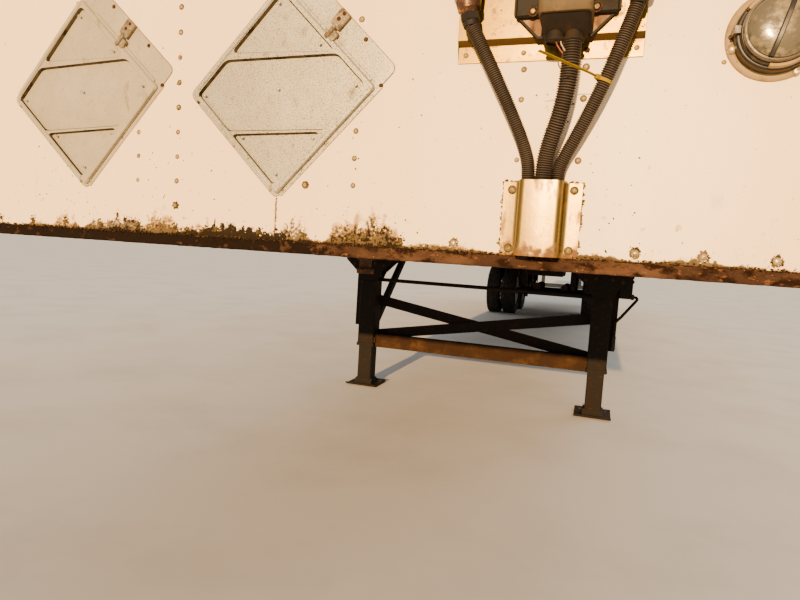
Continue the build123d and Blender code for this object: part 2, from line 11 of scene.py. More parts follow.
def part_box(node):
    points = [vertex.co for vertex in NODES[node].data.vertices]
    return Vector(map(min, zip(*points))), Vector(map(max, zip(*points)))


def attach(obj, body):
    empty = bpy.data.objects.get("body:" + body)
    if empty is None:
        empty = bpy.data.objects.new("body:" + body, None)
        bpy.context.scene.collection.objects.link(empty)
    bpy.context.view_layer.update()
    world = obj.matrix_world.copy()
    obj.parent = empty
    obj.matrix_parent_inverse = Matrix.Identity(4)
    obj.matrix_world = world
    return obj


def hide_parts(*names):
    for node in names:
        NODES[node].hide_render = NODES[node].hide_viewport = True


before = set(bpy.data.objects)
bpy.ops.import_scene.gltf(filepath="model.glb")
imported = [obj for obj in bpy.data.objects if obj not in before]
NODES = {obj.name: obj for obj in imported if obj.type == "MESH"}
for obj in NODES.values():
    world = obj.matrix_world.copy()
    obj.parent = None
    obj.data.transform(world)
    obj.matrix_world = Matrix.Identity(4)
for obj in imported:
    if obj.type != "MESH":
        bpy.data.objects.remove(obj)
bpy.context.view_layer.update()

bl_info = {
    "name": "Semi trailer finish",
    "version": (1, 0, 0),
    "blender": (4, 5, 0),
    "location": "3D View > Sidebar > Trailer",
    "description": "Finishes a dry van semi trailer on its packed frame",
    "category": "Object",
}

MM = 0.001
FRONT, BACK, UP = (0, -1, 0), (0, 1, 0), (0, 0, 1)
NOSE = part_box("front_wall")[0].y        # outer face of the nose wall
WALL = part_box("side_wall_left")[1].x    # outer face of a side wall
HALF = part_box("bottom_rails")[1].x      # half the width over the rails
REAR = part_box("door_left")[1].y         # outer face of the doors
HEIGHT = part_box("front_header")[1].z
RIVET_PITCH, BOLT_PITCH = 0.0508, 0.1016    # 2 in and 4 in
BOW_PITCH = 0.6096                          # 24 in, also of the side panels' rivets
HINGE_X = 1.2805
HINGE_LEVELS = [1.444 + n * 0.606 for n in range(5)]
AXLES = (("front", 3.8015), ("rear", 5.0465))
WHEEL_Z = 0.51
SPRING_X = 0.487
FILM_LENGTHS = (0.2794, 0.1778)             # 11 in of red and 7 in of white in turn
RAIL_Z = 1.128                              # middle height of the sliding frame's rails


# Colours and materials

def linear(colour):
    """An sRGB hex colour as linear red, green, blue and alpha."""
    parts = [int(colour[i:i + 2], 16) / 255 for i in (1, 3, 5)]
    return [c / 12.92 if c <= 0.04045 else ((c + 0.055) / 1.055) ** 2.4 for c in parts] + [1.0]


def add(tree, kind, feeds=None, **settings):
    """Add a node with its settings; feeds holds a value, a socket or a node for each input."""
    made = tree.nodes.new(kind)
    for key, value in settings.items():
        setattr(made, key, value)
    for key, value in (feeds or {}).items():
        if isinstance(value, bpy.types.Node):
            value = value.outputs[0]
        if isinstance(value, bpy.types.NodeSocket):
            tree.links.new(value, made.inputs[key])
        else:
            made.inputs[key].default_value = value
    return made


def calc(tree, operation, *values):
    """A math node on two or three values."""
    return add(tree, "ShaderNodeMath", dict(enumerate(values)), operation=operation)


def ranged(tree, value, start, end, low=0.0, high=1.0):
    """A value that runs from low to high while another goes from start to end."""
    return add(tree, "ShaderNodeMapRange", {0: value, 1: start, 2: end, 3: low, 4: high})


EVEN, UPRIGHT = (1, 1, 1), (1, 1, 0.3)
# A coat covers what lies below it in patches. size is that of the patches in mm, low and
# high are where the noise starts and ends to cover, rough and metal are the coat's own
# finish, and stretch squeezes the pattern along each axis.
Coat = namedtuple("Coat", "colour size low high rough metal stretch", defaults=(0.0, EVEN))
# A relief is bump of one grain size and depth in mm.
Relief = namedtuple("Relief", "size depth stretch", defaults=(EVEN,))
Finish = namedtuple("Finish", "name colour rough metal coats reliefs")
FINISHES = {row.name: row for row in (
    # Polyester enamel on aluminium sheet, coil coated, aged chalky: a soft sheen, faint blotches. The base
    # colour is peach rather than white: painted warm sunlight.
    Finish("nose_enamel", "#FBE1B9", 0.4, 0.0, (
        Coat("#F4D6A7", 520, 0.42, 0.78, 0.48, stretch=UPRIGHT),
        Coat("#DCC298", 46, 0.68, 0.82, 0.6, stretch=UPRIGHT),
        Coat("#7A6646", 7, 0.69, 0.725, 0.8)),
        (Relief(260, 0.9), Relief(3, 0.03))),
    # The same enamel on the sides, roof rails and doors, washed more often.
    Finish("side_enamel", "#F3E6CE", 0.36, 0.0, (
        Coat("#E6D7BA", 700, 0.45, 0.8, 0.46, stretch=UPRIGHT),
        Coat("#BDAF95", 60, 0.66, 0.82, 0.6, stretch=(1, 1, 0.12)),
        Coat("#7A6B52", 9, 0.7, 0.74, 0.8)),
        (Relief(330, 1.2), Relief(3, 0.03))),
    # Rolled mild steel, its black paint flaking off: scaly, dull, orange where it is freshest.
    Finish("rusted_steel", "#38271D", 0.9, 0.0, (
        Coat("#523B2A", 60, 0.46, 0.62, 0.9, stretch=(0.5, 1, 1)),
        Coat("#20140D", 17, 0.49, 0.6, 0.95, stretch=(0.5, 1, 1)),
        Coat("#6B482D", 8, 0.6, 0.7, 0.95, stretch=(0.5, 1, 1)),
        Coat("#B28C62", 4, 0.68, 0.74, 0.95)),
        (Relief(14, 1.2, (0.5, 1, 1)), Relief(3, 0.4))),
    # Chassis black, sprayed on blasted steel, chipped and dusty, brown rust bleeding through.
    Finish("chassis_black", "#100D0B", 0.78, 0.0, (
        Coat("#1F1611", 90, 0.45, 0.7, 0.85),
        Coat("#382317", 26, 0.58, 0.68, 0.9),
        Coat("#5E3B20", 8, 0.68, 0.75, 0.95)),
        (Relief(12, 0.35), Relief(2.5, 0.1))),
    # The same black almost gone: the cross beam has rusted orange brown under it. All its colours are kept
    # dark brown, partly painted shade.
    Finish("beam_rust", "#2E1F13", 0.9, 0.0, (
        Coat("#46301D", 120, 0.46, 0.66, 0.9),
        Coat("#2A1C14", 45, 0.5, 0.66, 0.9),
        Coat("#17110D", 16, 0.6, 0.7, 0.9)),
        (Relief(12, 0.5), Relief(2.5, 0.2))),
    # Hot dip galvanised steel: grey, patchy spangle about 12 mm across, streaked brown.
    Finish("galvanised_steel", "#9C9A94", 0.46, 0.75, (
        Coat("#B9B6AE", 12, 0.48, 0.56, 0.38, 0.8),
        Coat("#7C766B", 60, 0.55, 0.75, 0.6, 0.5, (1, 1, 0.4)),
        Coat("#7B4F2C", 22, 0.66, 0.76, 0.85, stretch=(1, 1, 0.5))),
        (Relief(12, 0.05), Relief(3, 0.05))),
    # Mill finish aluminium extrusion and sheet: dull grey, rolled along its length.
    Finish("mill_aluminium", "#B4B2AB", 0.42, 0.8, (
        Coat("#97948B", 120, 0.45, 0.75, 0.55, 0.7, (1, 0.12, 1)),
        Coat("#6A6355", 20, 0.64, 0.78, 0.75, 0.2),
        Coat("#3D372C", 5, 0.7, 0.75, 0.85)),
        (Relief(40, 0.12), Relief(2, 0.03, (1, 0.1, 1)))),
    # Aluminium placard sheet, pressed and left bare: greyed, road dirt in fine dark specks.
    Finish("placard_sheet", "#B8B29C", 0.42, 0.6, (
        Coat("#CEC7B0", 90, 0.45, 0.7, 0.38, 0.65),
        Coat("#7A725C", 24, 0.58, 0.76, 0.55, 0.3, (1, 1, 0.6)),
        Coat("#4E4636", 1.7, 0.53, 0.6, 0.85)),
        (Relief(30, 0.12), Relief(2.5, 0.06))),
    # The same sheet on the older holder: duller, with a brown cast.
    Finish("dull_placard_sheet", "#ABA288", 0.5, 0.4, (
        Coat("#BCB299", 90, 0.45, 0.7, 0.46, 0.45),
        Coat("#74684F", 24, 0.6, 0.78, 0.6, 0.2, (1, 1, 0.6)),
        Coat("#564A35", 2.2, 0.6, 0.68, 0.85)),
        (Relief(30, 0.12), Relief(2.5, 0.06))),
    # The slopes of the pressed trays' windows and a thin rim round each holder: dark. Painted shade on the
    # slopes; on the rim, dirt in the gap to the wall and painted shade.
    Finish("placard_groove", "#4A402E", 0.85, 0.0, (
        Coat("#261F15", 20, 0.46, 0.62, 0.9),),
        (Relief(3, 0.1),)),
    # Zinc plated steel latches, brown where the zinc has gone.
    Finish("latch_steel", "#7D7058", 0.55, 0.3, (
        Coat("#5E4A33", 14, 0.46, 0.62, 0.8, 0.1),
        Coat("#A09478", 8, 0.58, 0.7, 0.45, 0.4)),
        (Relief(6, 0.15),)),
    # Yellow passivated steel sheet: golden, brushed along X, brown where water stood.
    Finish("passivated_sheet", "#8C7129", 0.34, 0.9, (
        Coat("#A88A3C", 60, 0.42, 0.66, 0.26, 0.9, (0.3, 1, 1)),
        Coat("#7A582A", 26, 0.56, 0.74, 0.6, 0.3),
        Coat("#4F3A1F", 6, 0.64, 0.72, 0.85)),
        (Relief(50, 0.2), Relief(1.6, 0.03, (0.08, 1, 1)))),
    # The socket's plate in the same sheet, stained brown by rust that ran down it.
    Finish("stained_sheet", "#64472A", 0.6, 0.3, (
        Coat("#7E5E3A", 30, 0.5, 0.7, 0.5, 0.4, (1, 1, 0.4)),
        Coat("#5C3A20", 14, 0.5, 0.64, 0.8, 0.1, (1, 1, 0.5))),
        (Relief(40, 0.2), Relief(2, 0.06))),
    # Bright steel cover sheet, brushed upright, with tan stains low down.
    Finish("cover_sheet", "#7E6932", 0.32, 0.95, (
        Coat("#968046", 40, 0.45, 0.7, 0.26, 0.95, (1, 1, 0.2)),
        Coat("#755428", 18, 0.54, 0.74, 0.55, 0.5, (1, 1, 0.4)),
        Coat("#4A351B", 5, 0.68, 0.74, 0.8, 0.1)),
        (Relief(35, 0.25), Relief(1.4, 0.03, (1, 1, 0.06)))),
    # Polyamide loom and cable boxes, extruded or moulded black: satin, greyed by dust.
    Finish("black_polyamide", "#100D0B", 0.68, 0.0, (
        Coat("#231B15", 26, 0.48, 0.74, 0.8),
        Coat("#4A3B2C", 5, 0.7, 0.78, 0.85)),
        (Relief(4, 0.08),)),
    # The looms' ribs, extruded in the same polyamide: black, made brown grey by dust on their crests and a
    # painted highlight.
    Finish("dusty_loom", "#413730", 0.62, 0.0, (
        Coat("#5A4E46", 30, 0.46, 0.7, 0.7),
        Coat("#241913", 60, 0.5, 0.7, 0.6)),
        (Relief(3, 0.05),)),
    # Polycarbonate socket housing, moulded black, its upper faces tan with dust.
    Finish("dusty_polycarbonate", "#19130E", 0.75, 0.0, (
        Coat("#2F2519", 34, 0.48, 0.7, 0.85),
        Coat("#0D0A08", 14, 0.56, 0.7, 0.75)),
        (Relief(4, 0.08),)),
    # The lid over it, where the dust lies thickest.
    Finish("dusty_lid", "#55472F", 0.7, 0.0, (
        Coat("#66543A", 30, 0.45, 0.66, 0.75),
        Coat("#3E3425", 9, 0.56, 0.7, 0.7)),
        (Relief(4, 0.08),)),
    # Sand cast coupling body with a brown oxide skin: rough, coppery on its high spots.
    Finish("brown_casting", "#4A3322", 0.45, 0.5, (
        Coat("#86603F", 12, 0.54, 0.64, 0.34, 0.6),
        Coat("#20160F", 9, 0.5, 0.62, 0.8, 0.1)),
        (Relief(3, 0.25),)),
    # Zinc plated screws and rivets gone tan and brown in the weather.
    Finish("weathered_rivet", "#8C7850", 0.5, 0.25, (
        Coat("#A3906A", 9, 0.5, 0.62, 0.45, 0.2),
        Coat("#5C4526", 6, 0.5, 0.64, 0.8)),
        (Relief(2.5, 0.15),)),
    # The ring of dirt that collects round a rivet head.
    Finish("rivet_dirt", "#62542F", 0.9, 0.0, (
        Coat("#3A301B", 6, 0.42, 0.58, 0.9),),
        (Relief(2, 0.1),)),
    # Steel screws whose zinc has gone: brown rust, pitted and dull.
    Finish("rusted_screw", "#38271B", 0.85, 0.1, (
        Coat("#563C26", 5, 0.5, 0.64, 0.85, 0.1),
        Coat("#241811", 4, 0.54, 0.64, 0.9)),
        (Relief(2, 0.25),)),
    # Bright plated bolt heads under a smear of sealant.
    Finish("plated_bolt", "#B5A47C", 0.32, 0.5, (
        Coat("#7C6A46", 6, 0.46, 0.6, 0.6, 0.2),
        Coat("#4D4027", 4, 0.58, 0.66, 0.8)),
        (Relief(3, 0.15),)),
    # Butyl sealant squeezed out and gone hard, with dirt stuck to it.
    Finish("old_sealant", "#7C6B45", 0.9, 0.0, (
        Coat("#4E4228", 7, 0.4, 0.56, 0.9),
        Coat("#251E13", 4, 0.5, 0.62, 0.95)),
        (Relief(4, 0.8), Relief(2, 0.3))),
    # Loose crust of rust flakes, soil and moss along the sill.
    Finish("dirt_crust", "#33271B", 0.95, 0.0, (
        Coat("#574327", 9, 0.48, 0.6, 0.95),
        Coat("#785E38", 5, 0.62, 0.72, 0.95)),
        (Relief(2, 0.5),)),
    # Moulded ABS document holder, gone tan in the sun.
    Finish("tan_abs", "#8F7646", 0.55, 0.0, (
        Coat("#705B36", 24, 0.5, 0.7, 0.6),
        Coat("#5B4A36", 6, 0.66, 0.76, 0.8)),
        (Relief(10, 0.1),)),
    # The body under the cap, moulded in near black ABS: satin, greyed by dust.
    Finish("grey_abs", "#1C1815", 0.36, 0.0, (
        Coat("#43392C", 16, 0.52, 0.7, 0.6),),
        (Relief(8, 0.12),)),
    # The cap's rim in the same ABS, greyed and clouded.
    Finish("clouded_abs", "#4B453B", 0.3, 0.0, (
        Coat("#2E2A23", 12, 0.46, 0.64, 0.5),),
        (Relief(8, 0.1),)),
    # Polymethyl methacrylate dome, moulded clear and crazed by the sun. Its lighter golden patches are
    # painted glints.
    Finish("crazed_acrylic", "#5E5846", 0.16, 0.15, (
        Coat("#8A7C5C", 22, 0.5, 0.68, 0.3, 0.1),
        Coat("#3C382E", 9, 0.52, 0.66, 0.45)),
        (Relief(7, 0.12),)),
    # Carbon black tyre rubber, cured in a mould: matt, grey brown with dust.
    Finish("tyre_rubber", "#1E1C1A", 0.82, 0.0, (
        Coat("#3D372F", 60, 0.45, 0.72, 0.9),
        Coat("#5C5142", 14, 0.6, 0.74, 0.95)),
        (Relief(4, 0.15),)),
    # White wheel enamel on pressed steel, chipped to rust round the studs.
    Finish("wheel_enamel", "#D9D5CB", 0.4, 0.0, (
        Coat("#A89E8D", 70, 0.48, 0.72, 0.6),
        Coat("#75492A", 16, 0.64, 0.72, 0.85)),
        (Relief(6, 0.12),)),
    # Cast iron hub and drum, unpainted: brown rust film over a sandy skin.
    Finish("rusty_iron", "#4A382C", 0.75, 0.25, (
        Coat("#7B4E30", 22, 0.52, 0.68, 0.85),
        Coat("#2A2320", 9, 0.6, 0.7, 0.7, 0.3)),
        (Relief(3, 0.3),)),
    # Laminated oak floor boards, sawn and glued: the grain runs fore and aft.
    Finish("laminated_oak", "#8A6A45", 0.6, 0.0, (
        Coat("#5E4329", 34, 0.45, 0.6, 0.65, stretch=(1, 0.03, 1)),
        Coat("#A98A5F", 12, 0.58, 0.72, 0.6, stretch=(1, 0.04, 1))),
        (Relief(8, 0.2, (1, 0.05, 1)),)),
    # Moulded flap rubber and door seals: matt black with a grey bloom.
    Finish("flap_rubber", "#1F1E1C", 0.72, 0.0, (
        Coat("#3E3A34", 70, 0.48, 0.75, 0.85),),
        (Relief(6, 0.15),)),
    # Acrylic lamp lenses, moulded in amber and red: glossy over a ribbed inside.
    Finish("amber_acrylic", "#DD7D12", 0.14, 0.0, (
        Coat("#A55C12", 20, 0.58, 0.78, 0.35),),
        (Relief(3, 0.2, (1, 1, 0.2)),)),
    Finish("red_acrylic", "#A5110E", 0.14, 0.0, (
        Coat("#640C0A", 20, 0.58, 0.78, 0.35),),
        (Relief(3, 0.2, (1, 1, 0.2)),)),
    # Reflecting film in white and red, its sealed cells about 3 mm across.
    Finish("white_film", "#E2DED4", 0.33, 0.0, (
        Coat("#B8AE9B", 40, 0.55, 0.75, 0.6),),
        (Relief(3, 0.05),)),
    Finish("red_film", "#A8231A", 0.33, 0.0, (
        Coat("#7C241B", 40, 0.55, 0.75, 0.6),),
        (Relief(3, 0.05),)),
    # Nylon cable tie and wire insulation, moulded or extruded in colour.
    Finish("yellow_nylon", "#8E7400", 0.9, 0.0, (
        Coat("#735C00", 9, 0.55, 0.75, 0.6),),
        (Relief(2, 0.05),)),
    Finish("orange_insulation", "#7E3D1C", 0.5, 0.0, (
        Coat("#5A2F1A", 8, 0.55, 0.75, 0.5),), (Relief(2, 0.05),)),
    Finish("white_insulation", "#A89A80", 0.4, 0.0, (
        Coat("#7C6D52", 8, 0.55, 0.75, 0.5),), (Relief(2, 0.05),)),
    # Floated pale concrete of the studio floor: matt, with a faint cloudiness.
    Finish("pale_floor", "#D9D3C9", 0.85, 0.0, (
        Coat("#CFC8BC", 900, 0.45, 0.7, 0.9),),
        (Relief(6, 0.2),)),
)}


def patches(tree, size, stretch=EVEN, detail=5.0):
    """Cloudy noise on object coordinates, with patches of that size in mm."""
    where = add(tree, "ShaderNodeTexCoord").outputs["Object"]
    scale = [s / (size * MM) for s in stretch]
    where = add(tree, "ShaderNodeMapping", {"Vector": where, "Scale": scale})
    feeds = {"Vector": where, "Scale": 1.0, "Detail": detail, "Roughness": 0.6}
    return add(tree, "ShaderNodeTexNoise", feeds)


def cover(tree, skin, mask, colour, rough, metal=0.0):
    """Lay a finish over a skin of colour, roughness and metal where a mask says."""
    mixed = add(tree, "ShaderNodeMix", {0: mask, 6: skin[0], 7: linear(colour)}, data_type="RGBA")
    plain = [add(tree, "ShaderNodeMix", {0: mask, 2: below, 3: above}, data_type="FLOAT")
             for below, above in ((skin[1], rough), (skin[2], metal))]
    return (mixed.outputs[2], *plain)


def nose_dirt(tree, skin):
    """Mould and soil on the nose wall, where its halo, grime and soil attributes say."""
    fine, broad = patches(tree, 5, detail=8.0), patches(tree, 20, detail=6.0)
    # Each layer: its attribute and grain, where it starts and ends to cover, its colour
    rows = (("halo", broad, 0.8, 1.15, "#AE8A54"), ("grime", fine, 0.86, 1.06, "#4C3F28"),
            ("soil", fine, 0.88, 0.98, "#17110C"))
    for name, grain, low, high, colour in rows:
        paint = add(tree, "ShaderNodeAttribute", attribute_name=name).outputs["Fac"]
        total = calc(tree, "ADD", paint, ranged(tree, grain, 0.24, 0.76))
        skin = cover(tree, skin, ranged(tree, total, low, high, 0.0, 0.92), colour, 0.9)
    return skin


def along_axis(tree, axis):
    """The distance along X, Y or Z, given as 0, 1 or 2, in object coordinates."""
    where = add(tree, "ShaderNodeTexCoord").outputs["Object"]
    return add(tree, "ShaderNodeSeparateXYZ", {0: where}).outputs[axis]


def sill_flakes(tree, skin):
    """Black flakes still cover the sill towards low X, and thin out to bare rust at high X."""
    total = calc(tree, "ADD", ranged(tree, along_axis(tree, 0), 0.5, 0.34, 0.0, 0.55), patches(tree, 22))
    return cover(tree, skin, ranged(tree, total, 0.88, 0.96), "#1A130E", 0.95)


def loom_groove_shade(tree, skin):
    """The grooves between the ribs of a loom, where the groove attribute says: black, painted shade in the
    grooves.
    """
    mask = add(tree, "ShaderNodeAttribute", attribute_name="groove").outputs["Fac"]
    return cover(tree, skin, mask, "#080605", 0.8)


def cover_stain(tree, skin):
    """Brown stain that rises from the foot of the loom cover."""
    total = calc(tree, "ADD", ranged(tree, along_axis(tree, 2), 1.25, 1.212, 0.0, 0.5), patches(tree, 16))
    return cover(tree, skin, ranged(tree, total, 0.72, 0.98), "#6E4C22", 0.7, 0.1)


def plate_fold_shade(tree, skin):
    """The fold of the hose plate above its lower flange: a brown band of painted shade."""
    return cover(tree, skin, calc(tree, "COMPARE", along_axis(tree, 2), 1.5735, 0.0042), "#57421F", 0.7, 0.3)


def board_joints(tree, skin):
    """The joints between the oak boards, each 305 mm wide, dark and a little open."""
    away = calc(tree, "PINGPONG", along_axis(tree, 0), 0.1525)
    return cover(tree, skin, ranged(tree, away, 0.003, 0.0015), "#2E2115", 0.9)


EXTRAS = {"nose_enamel": nose_dirt, "rusted_steel": sill_flakes, "laminated_oak": board_joints,
          "dusty_loom": loom_groove_shade, "cover_sheet": cover_stain, "passivated_sheet": plate_fold_shade}
CHOSEN = {"nose_enamel": "nose", "side_enamel": "body", "chassis_black": "chassis", "pale_floor": "floor"}
MADE = {}


def finish_of(name):
    """The procedural material of a finish, made when it is first asked for."""
    if name in MADE:
        return MADE[name]
    finish = FINISHES[name]
    MADE[name] = made = bpy.data.materials.new(finish.name)
    made.use_nodes = True
    tree = made.node_tree
    tree.nodes.clear()
    colour = linear(finish.colour)
    if name in CHOSEN:
        colour = list(getattr(bpy.context.scene.trailer_colours, CHOSEN[name])) + [1.0]
    skin = colour, finish.rough, finish.metal
    for coat in finish.coats:
        mask = ranged(tree, patches(tree, coat.size, coat.stretch), coat.low, coat.high)
        skin = cover(tree, skin, mask, coat.colour, coat.rough, coat.metal)
    if name in EXTRAS:
        skin = EXTRAS[name](tree, skin)
    normal = None
    for relief in finish.reliefs:
        feeds = {"Strength": 1.0, "Distance": relief.depth * MM,
                 "Height": patches(tree, relief.size, relief.stretch, 4.0)}
        if normal:
            feeds["Normal"] = normal
        normal = add(tree, "ShaderNodeBump", feeds)
    # Dust and rust are so rough that they hardly shine.
    sheen = ranged(tree, skin[1], 0.5, 0.95, 0.5, 0.06)
    feeds = {"Base Color": skin[0], "Roughness": skin[1], "Metallic": skin[2], "Normal": normal,
             "Specular IOR Level": sheen}
    shader = add(tree, "ShaderNodeBsdfPrincipled", feeds)
    add(tree, "ShaderNodeOutputMaterial", {"Surface": shader})
    return made


# Shapes

def placed(origin, along=(0, 0, 1), up=None):
    """A matrix at a point whose Z runs along a direction, with X as near to up as can be."""
    z = Vector(along).normalized()
    hint = Vector(up) if up else (Vector((1, 0, 0)) if abs(z.x) < 0.9 else Vector((0, 1, 0)))
    x = (hint - z * hint.dot(z)).normalized()
    turn = Matrix((x, z.cross(x), z)).transposed().to_4x4()
    return Matrix.Translation(Vector(origin)) @ turn


def mm(*points):
    """Points that are given in mm, in metres."""
    return [(a * MM, b * MM) for a, b in points]


def offset(outline, distance):
    """A closed outline moved inwards by a distance, mitred at its corners."""
    area = sum(a[0] * b[1] - b[0] * a[1] for a, b in zip(outline, outline[1:] + outline[:1]))
    side = 1 if area > 0 else -1
    moved = []
    for i, here in enumerate(outline):
        here, before, after = Vector(here), Vector(outline[i - 1]), Vector(outline[(i + 1) % len(outline)])
        normals = [Vector((-v.y, v.x)) * side
                   for v in ((here - before).normalized(), (after - here).normalized())]
        middle = normals[0] + normals[1]
        moved.append(tuple(here + middle / max(middle.dot(normals[0]), 0.2) * distance))
    return moved


def soft(outline, radius, steps=4):
    """An outline with its corners rounded."""
    points = []
    for i, corner in enumerate(outline):
        corner = Vector(corner)
        to = [Vector(outline[j % len(outline)]) - corner for j in (i - 1, i + 1)]
        reach = min(radius, 0.49 * to[0].length, 0.49 * to[1].length)
        a, b = (corner + v.normalized() * reach for v in to)
        for n in range(steps + 1):
            t = n / steps
            points.append(tuple(a * (1 - t) ** 2 + corner * (2 * t * (1 - t)) + b * t * t))
    return points


def rectangle(a0, a1, b0, b1, radius=0.0):
    """A rectangle, its corners rounded where a radius is given."""
    outline = [(a0, b0), (a1, b0), (a1, b1), (a0, b1)]
    return soft(outline, radius) if radius else outline


def polygon(radius, sides, turn=0.0):
    """A regular polygon about the origin; also the round section of a sweep."""
    return [(radius * cos(2 * pi * i / sides + turn), radius * sin(2 * pi * i / sides + turn))
            for i in range(sides)]


AXES = {"X": lambda a, b, c: (c, a, b), "Y": lambda a, b, c: (a, c, b), "Z": lambda a, b, c: (a, b, c)}


class Shape:
    """A mesh under way: its points, its faces and the number of each face's finish."""

    def __init__(self):
        self.points, self.faces, self.kinds = [], [], []

    def take(self, points, faces, kind=0, where=None):
        first = len(self.points)
        self.points += [where @ Vector(p) for p in points] if where else [Vector(p) for p in points]
        self.faces += [[first + i for i in face] for face in faces]
        self.kinds += [kind] * len(faces)

    def loft(self, rings, kind=0, where=None, closed=False):
        """Skin rings of equal length, with a face over each end unless the rings close."""
        count, size = len(rings), len(rings[0])
        faces = []
        for r in range(count if closed else count - 1):
            a, b = r * size, (r + 1) % count * size
            faces += [(a + i, a + (i + 1) % size, b + (i + 1) % size, b + i) for i in range(size)]
        if not closed:
            faces += [tuple(range(size))[::-1], tuple(range((count - 1) * size, count * size))]
        self.take([p for ring in rings for p in ring], faces, kind, where)

    def slab(self, outline, low, high, axis="Z", edge=0.0, kind=0, where=None):
        """An outline drawn out between two levels, its rims chamfered by edge."""
        levels = [(edge, low), (0, low + edge), (0, high - edge), (edge, high)]
        levels = levels if edge else [(0, low), (0, high)]
        turn = AXES[axis]
        self.loft([[turn(a, b, c) for a, b in (offset(outline, d) if d else outline)]
                   for d, c in levels], kind, where)

    def block(self, x, y, z, edge=0.0, kind=0, where=None):
        """A box between two limits on each axis with chamfered edges."""
        edge = min(edge, 0.3 * min(x[1] - x[0], y[1] - y[0], z[1] - z[0]))
        outline = rectangle(*x, *y)
        if edge:
            outline = soft(outline, edge, 1)
        self.slab(outline, *z, "Z", edge, kind, where)

    def lathe(self, profile, where=None, kind=0, steps=32, hollow=False):
        """A profile of (radius, height) turned about Z; a hollow one closes on itself."""
        rings = []
        for i in range(steps):
            turn = 2 * pi * i / steps
            rings.append([(r * cos(turn), r * sin(turn), h) for r, h in profile])
        size = len(profile)
        faces = []
        for r in range(steps):
            a, b = r * size, (r + 1) % steps * size
            for i in range(size if hollow else size - 1):
                faces.append((a + i, a + (i + 1) % size, b + (i + 1) % size, b + i))
        self.take([p for ring in rings for p in ring], faces, kind, where)

    def sweep(self, path, section, kind=0, up=(0, 0, 1), closed=False):
        """A section of (side, up) carried along a path of points."""
        path = [Vector(p) for p in path]
        rings, count = [], len(path)
        for i, here in enumerate(path):
            ahead = path[(i + 1) % count] if closed or i < count - 1 else here
            behind = path[i - 1] if closed or i > 0 else here
            along = (ahead - behind).normalized()
            side = along.cross(Vector(up)).normalized()
            over = side.cross(along)
            rings.append([here + side * a + over * b for a, b in section])
        self.loft(rings, kind, None, closed)

    def pressed(self, outline, holes, depth, floor, slope, kind=0, groove=0, where=None):
        """A sheet of some depth with windows sunk to a floor level, their slopes of another finish."""
        outer = [(p[0], p[1], depth) for p in offset(outline, slope)]
        rims = [[(p[0], p[1], depth) for p in offset(hole, -slope)] for hole in holes]
        loops = [[Vector(p) for p in loop] for loop in [outer] + rims]
        flat = [p for loop in loops for p in loop]
        self.take(flat, [tuple(t) for t in geometry.tessellate_polygon(loops)], kind, where)
        base = [(p[0], p[1], 0) for p in outline]
        self.ribbon([outer, [(p[0], p[1], depth - slope) for p in outline], base], kind, where)
        self.take(base, [tuple(range(len(base)))], kind, where)
        for hole, rim in zip(holes, rims):
            low = [(p[0], p[1], floor) for p in hole]
            # The slopes get the groove finish, which the placards use for painted shade.
            self.ribbon([rim, low], groove, where)
            self.take(low, [tuple(range(len(low)))], kind, where)

    def ribbon(self, rings, kind, where):
        """The faces between rings that each close on themselves, without end faces."""
        size = len(rings[0])
        faces = [(r * size + i, r * size + (i + 1) % size, (r + 1) * size + (i + 1) % size,
                  (r + 1) * size + i)
                 for r in range(len(rings) - 1) for i in range(size)]
        self.take([p for ring in rings for p in ring], faces, kind, where)

    def piece(self, name, finishes, body="trailer", slot=None, replaces=(), smooth=35, weld=1e-6):
        """The finished object, its faces pointing outwards and its sharp edges marked."""
        mesh = bpy.data.meshes.new(name)
        mesh.from_pydata([tuple(p) for p in self.points], [], self.faces)
        for finish in finishes:
            mesh.materials.append(finish_of(finish))
        mesh.polygons.foreach_set("material_index", self.kinds)
        tidy(mesh, smooth, weld)
        return show(name, mesh, body, replaces)


def tidy(mesh, smooth=35, weld=1e-6):
    """Close the seams of a mesh, turn its faces outwards and mark its sharp edges."""
    work = bmesh.new()
    work.from_mesh(mesh)
    bmesh.ops.remove_doubles(work, verts=work.verts, dist=weld)
    bmesh.ops.dissolve_degenerate(work, edges=work.edges, dist=weld)
    bmesh.ops.recalc_face_normals(work, faces=work.faces)
    for face in work.faces:
        face.smooth = True
    for edge in work.edges:
        if len(edge.link_faces) == 2 and edge.calc_face_angle(0) > radians(smooth):
            edge.smooth = False
    work.to_mesh(mesh)
    work.free()


def show(name, mesh, body="trailer", replaces=()):
    """Put a mesh in the scene as a piece that rides on a body."""
    mesh.name = name
    thing = bpy.data.objects.new(name, mesh)
    bpy.context.scene.collection.objects.link(thing)
    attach(thing, body)
    if replaces:
        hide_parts(*replaces)
    return thing


def dress(name, finish, bevel=0.0):
    """Give a CAD node its finish, and round its edges where a bevel is given."""
    node = NODES[name]
    if not node.material_slots:
        node.data.materials.append(None)
    for place in node.material_slots:
        place.material = finish_of(finish)
    if bevel:
        node.modifiers.new("weld", "WELD").merge_threshold = 1e-5
        flat = node.modifiers.new("flat", "DECIMATE")
        flat.decimate_type, flat.angle_limit = "DISSOLVE", radians(1)
        rim = node.modifiers.new("rim", "BEVEL")
        rim.width, rim.segments, rim.limit_method, rim.angle_limit = bevel, 2, "ANGLE", radians(38)
        rim.use_clamp_overlap, rim.harden_normals = True, True


# Geometry Nodes for what is repeated

def new_tree(name, inputs):
    """A node group with a geometry in and out, and the named inputs given."""
    tree = bpy.data.node_groups.new(name, "GeometryNodeTree")
    tree.interface.new_socket("Geometry", in_out="OUTPUT", socket_type="NodeSocketGeometry")
    tree.interface.new_socket("Geometry", in_out="INPUT", socket_type="NodeSocketGeometry")
    for label, kind, value in inputs:
        socket = tree.interface.new_socket(label, in_out="INPUT", socket_type="NodeSocket" + kind)
        if value is not None:
            socket.default_value = value
    return tree, add(tree, "NodeGroupInput").outputs


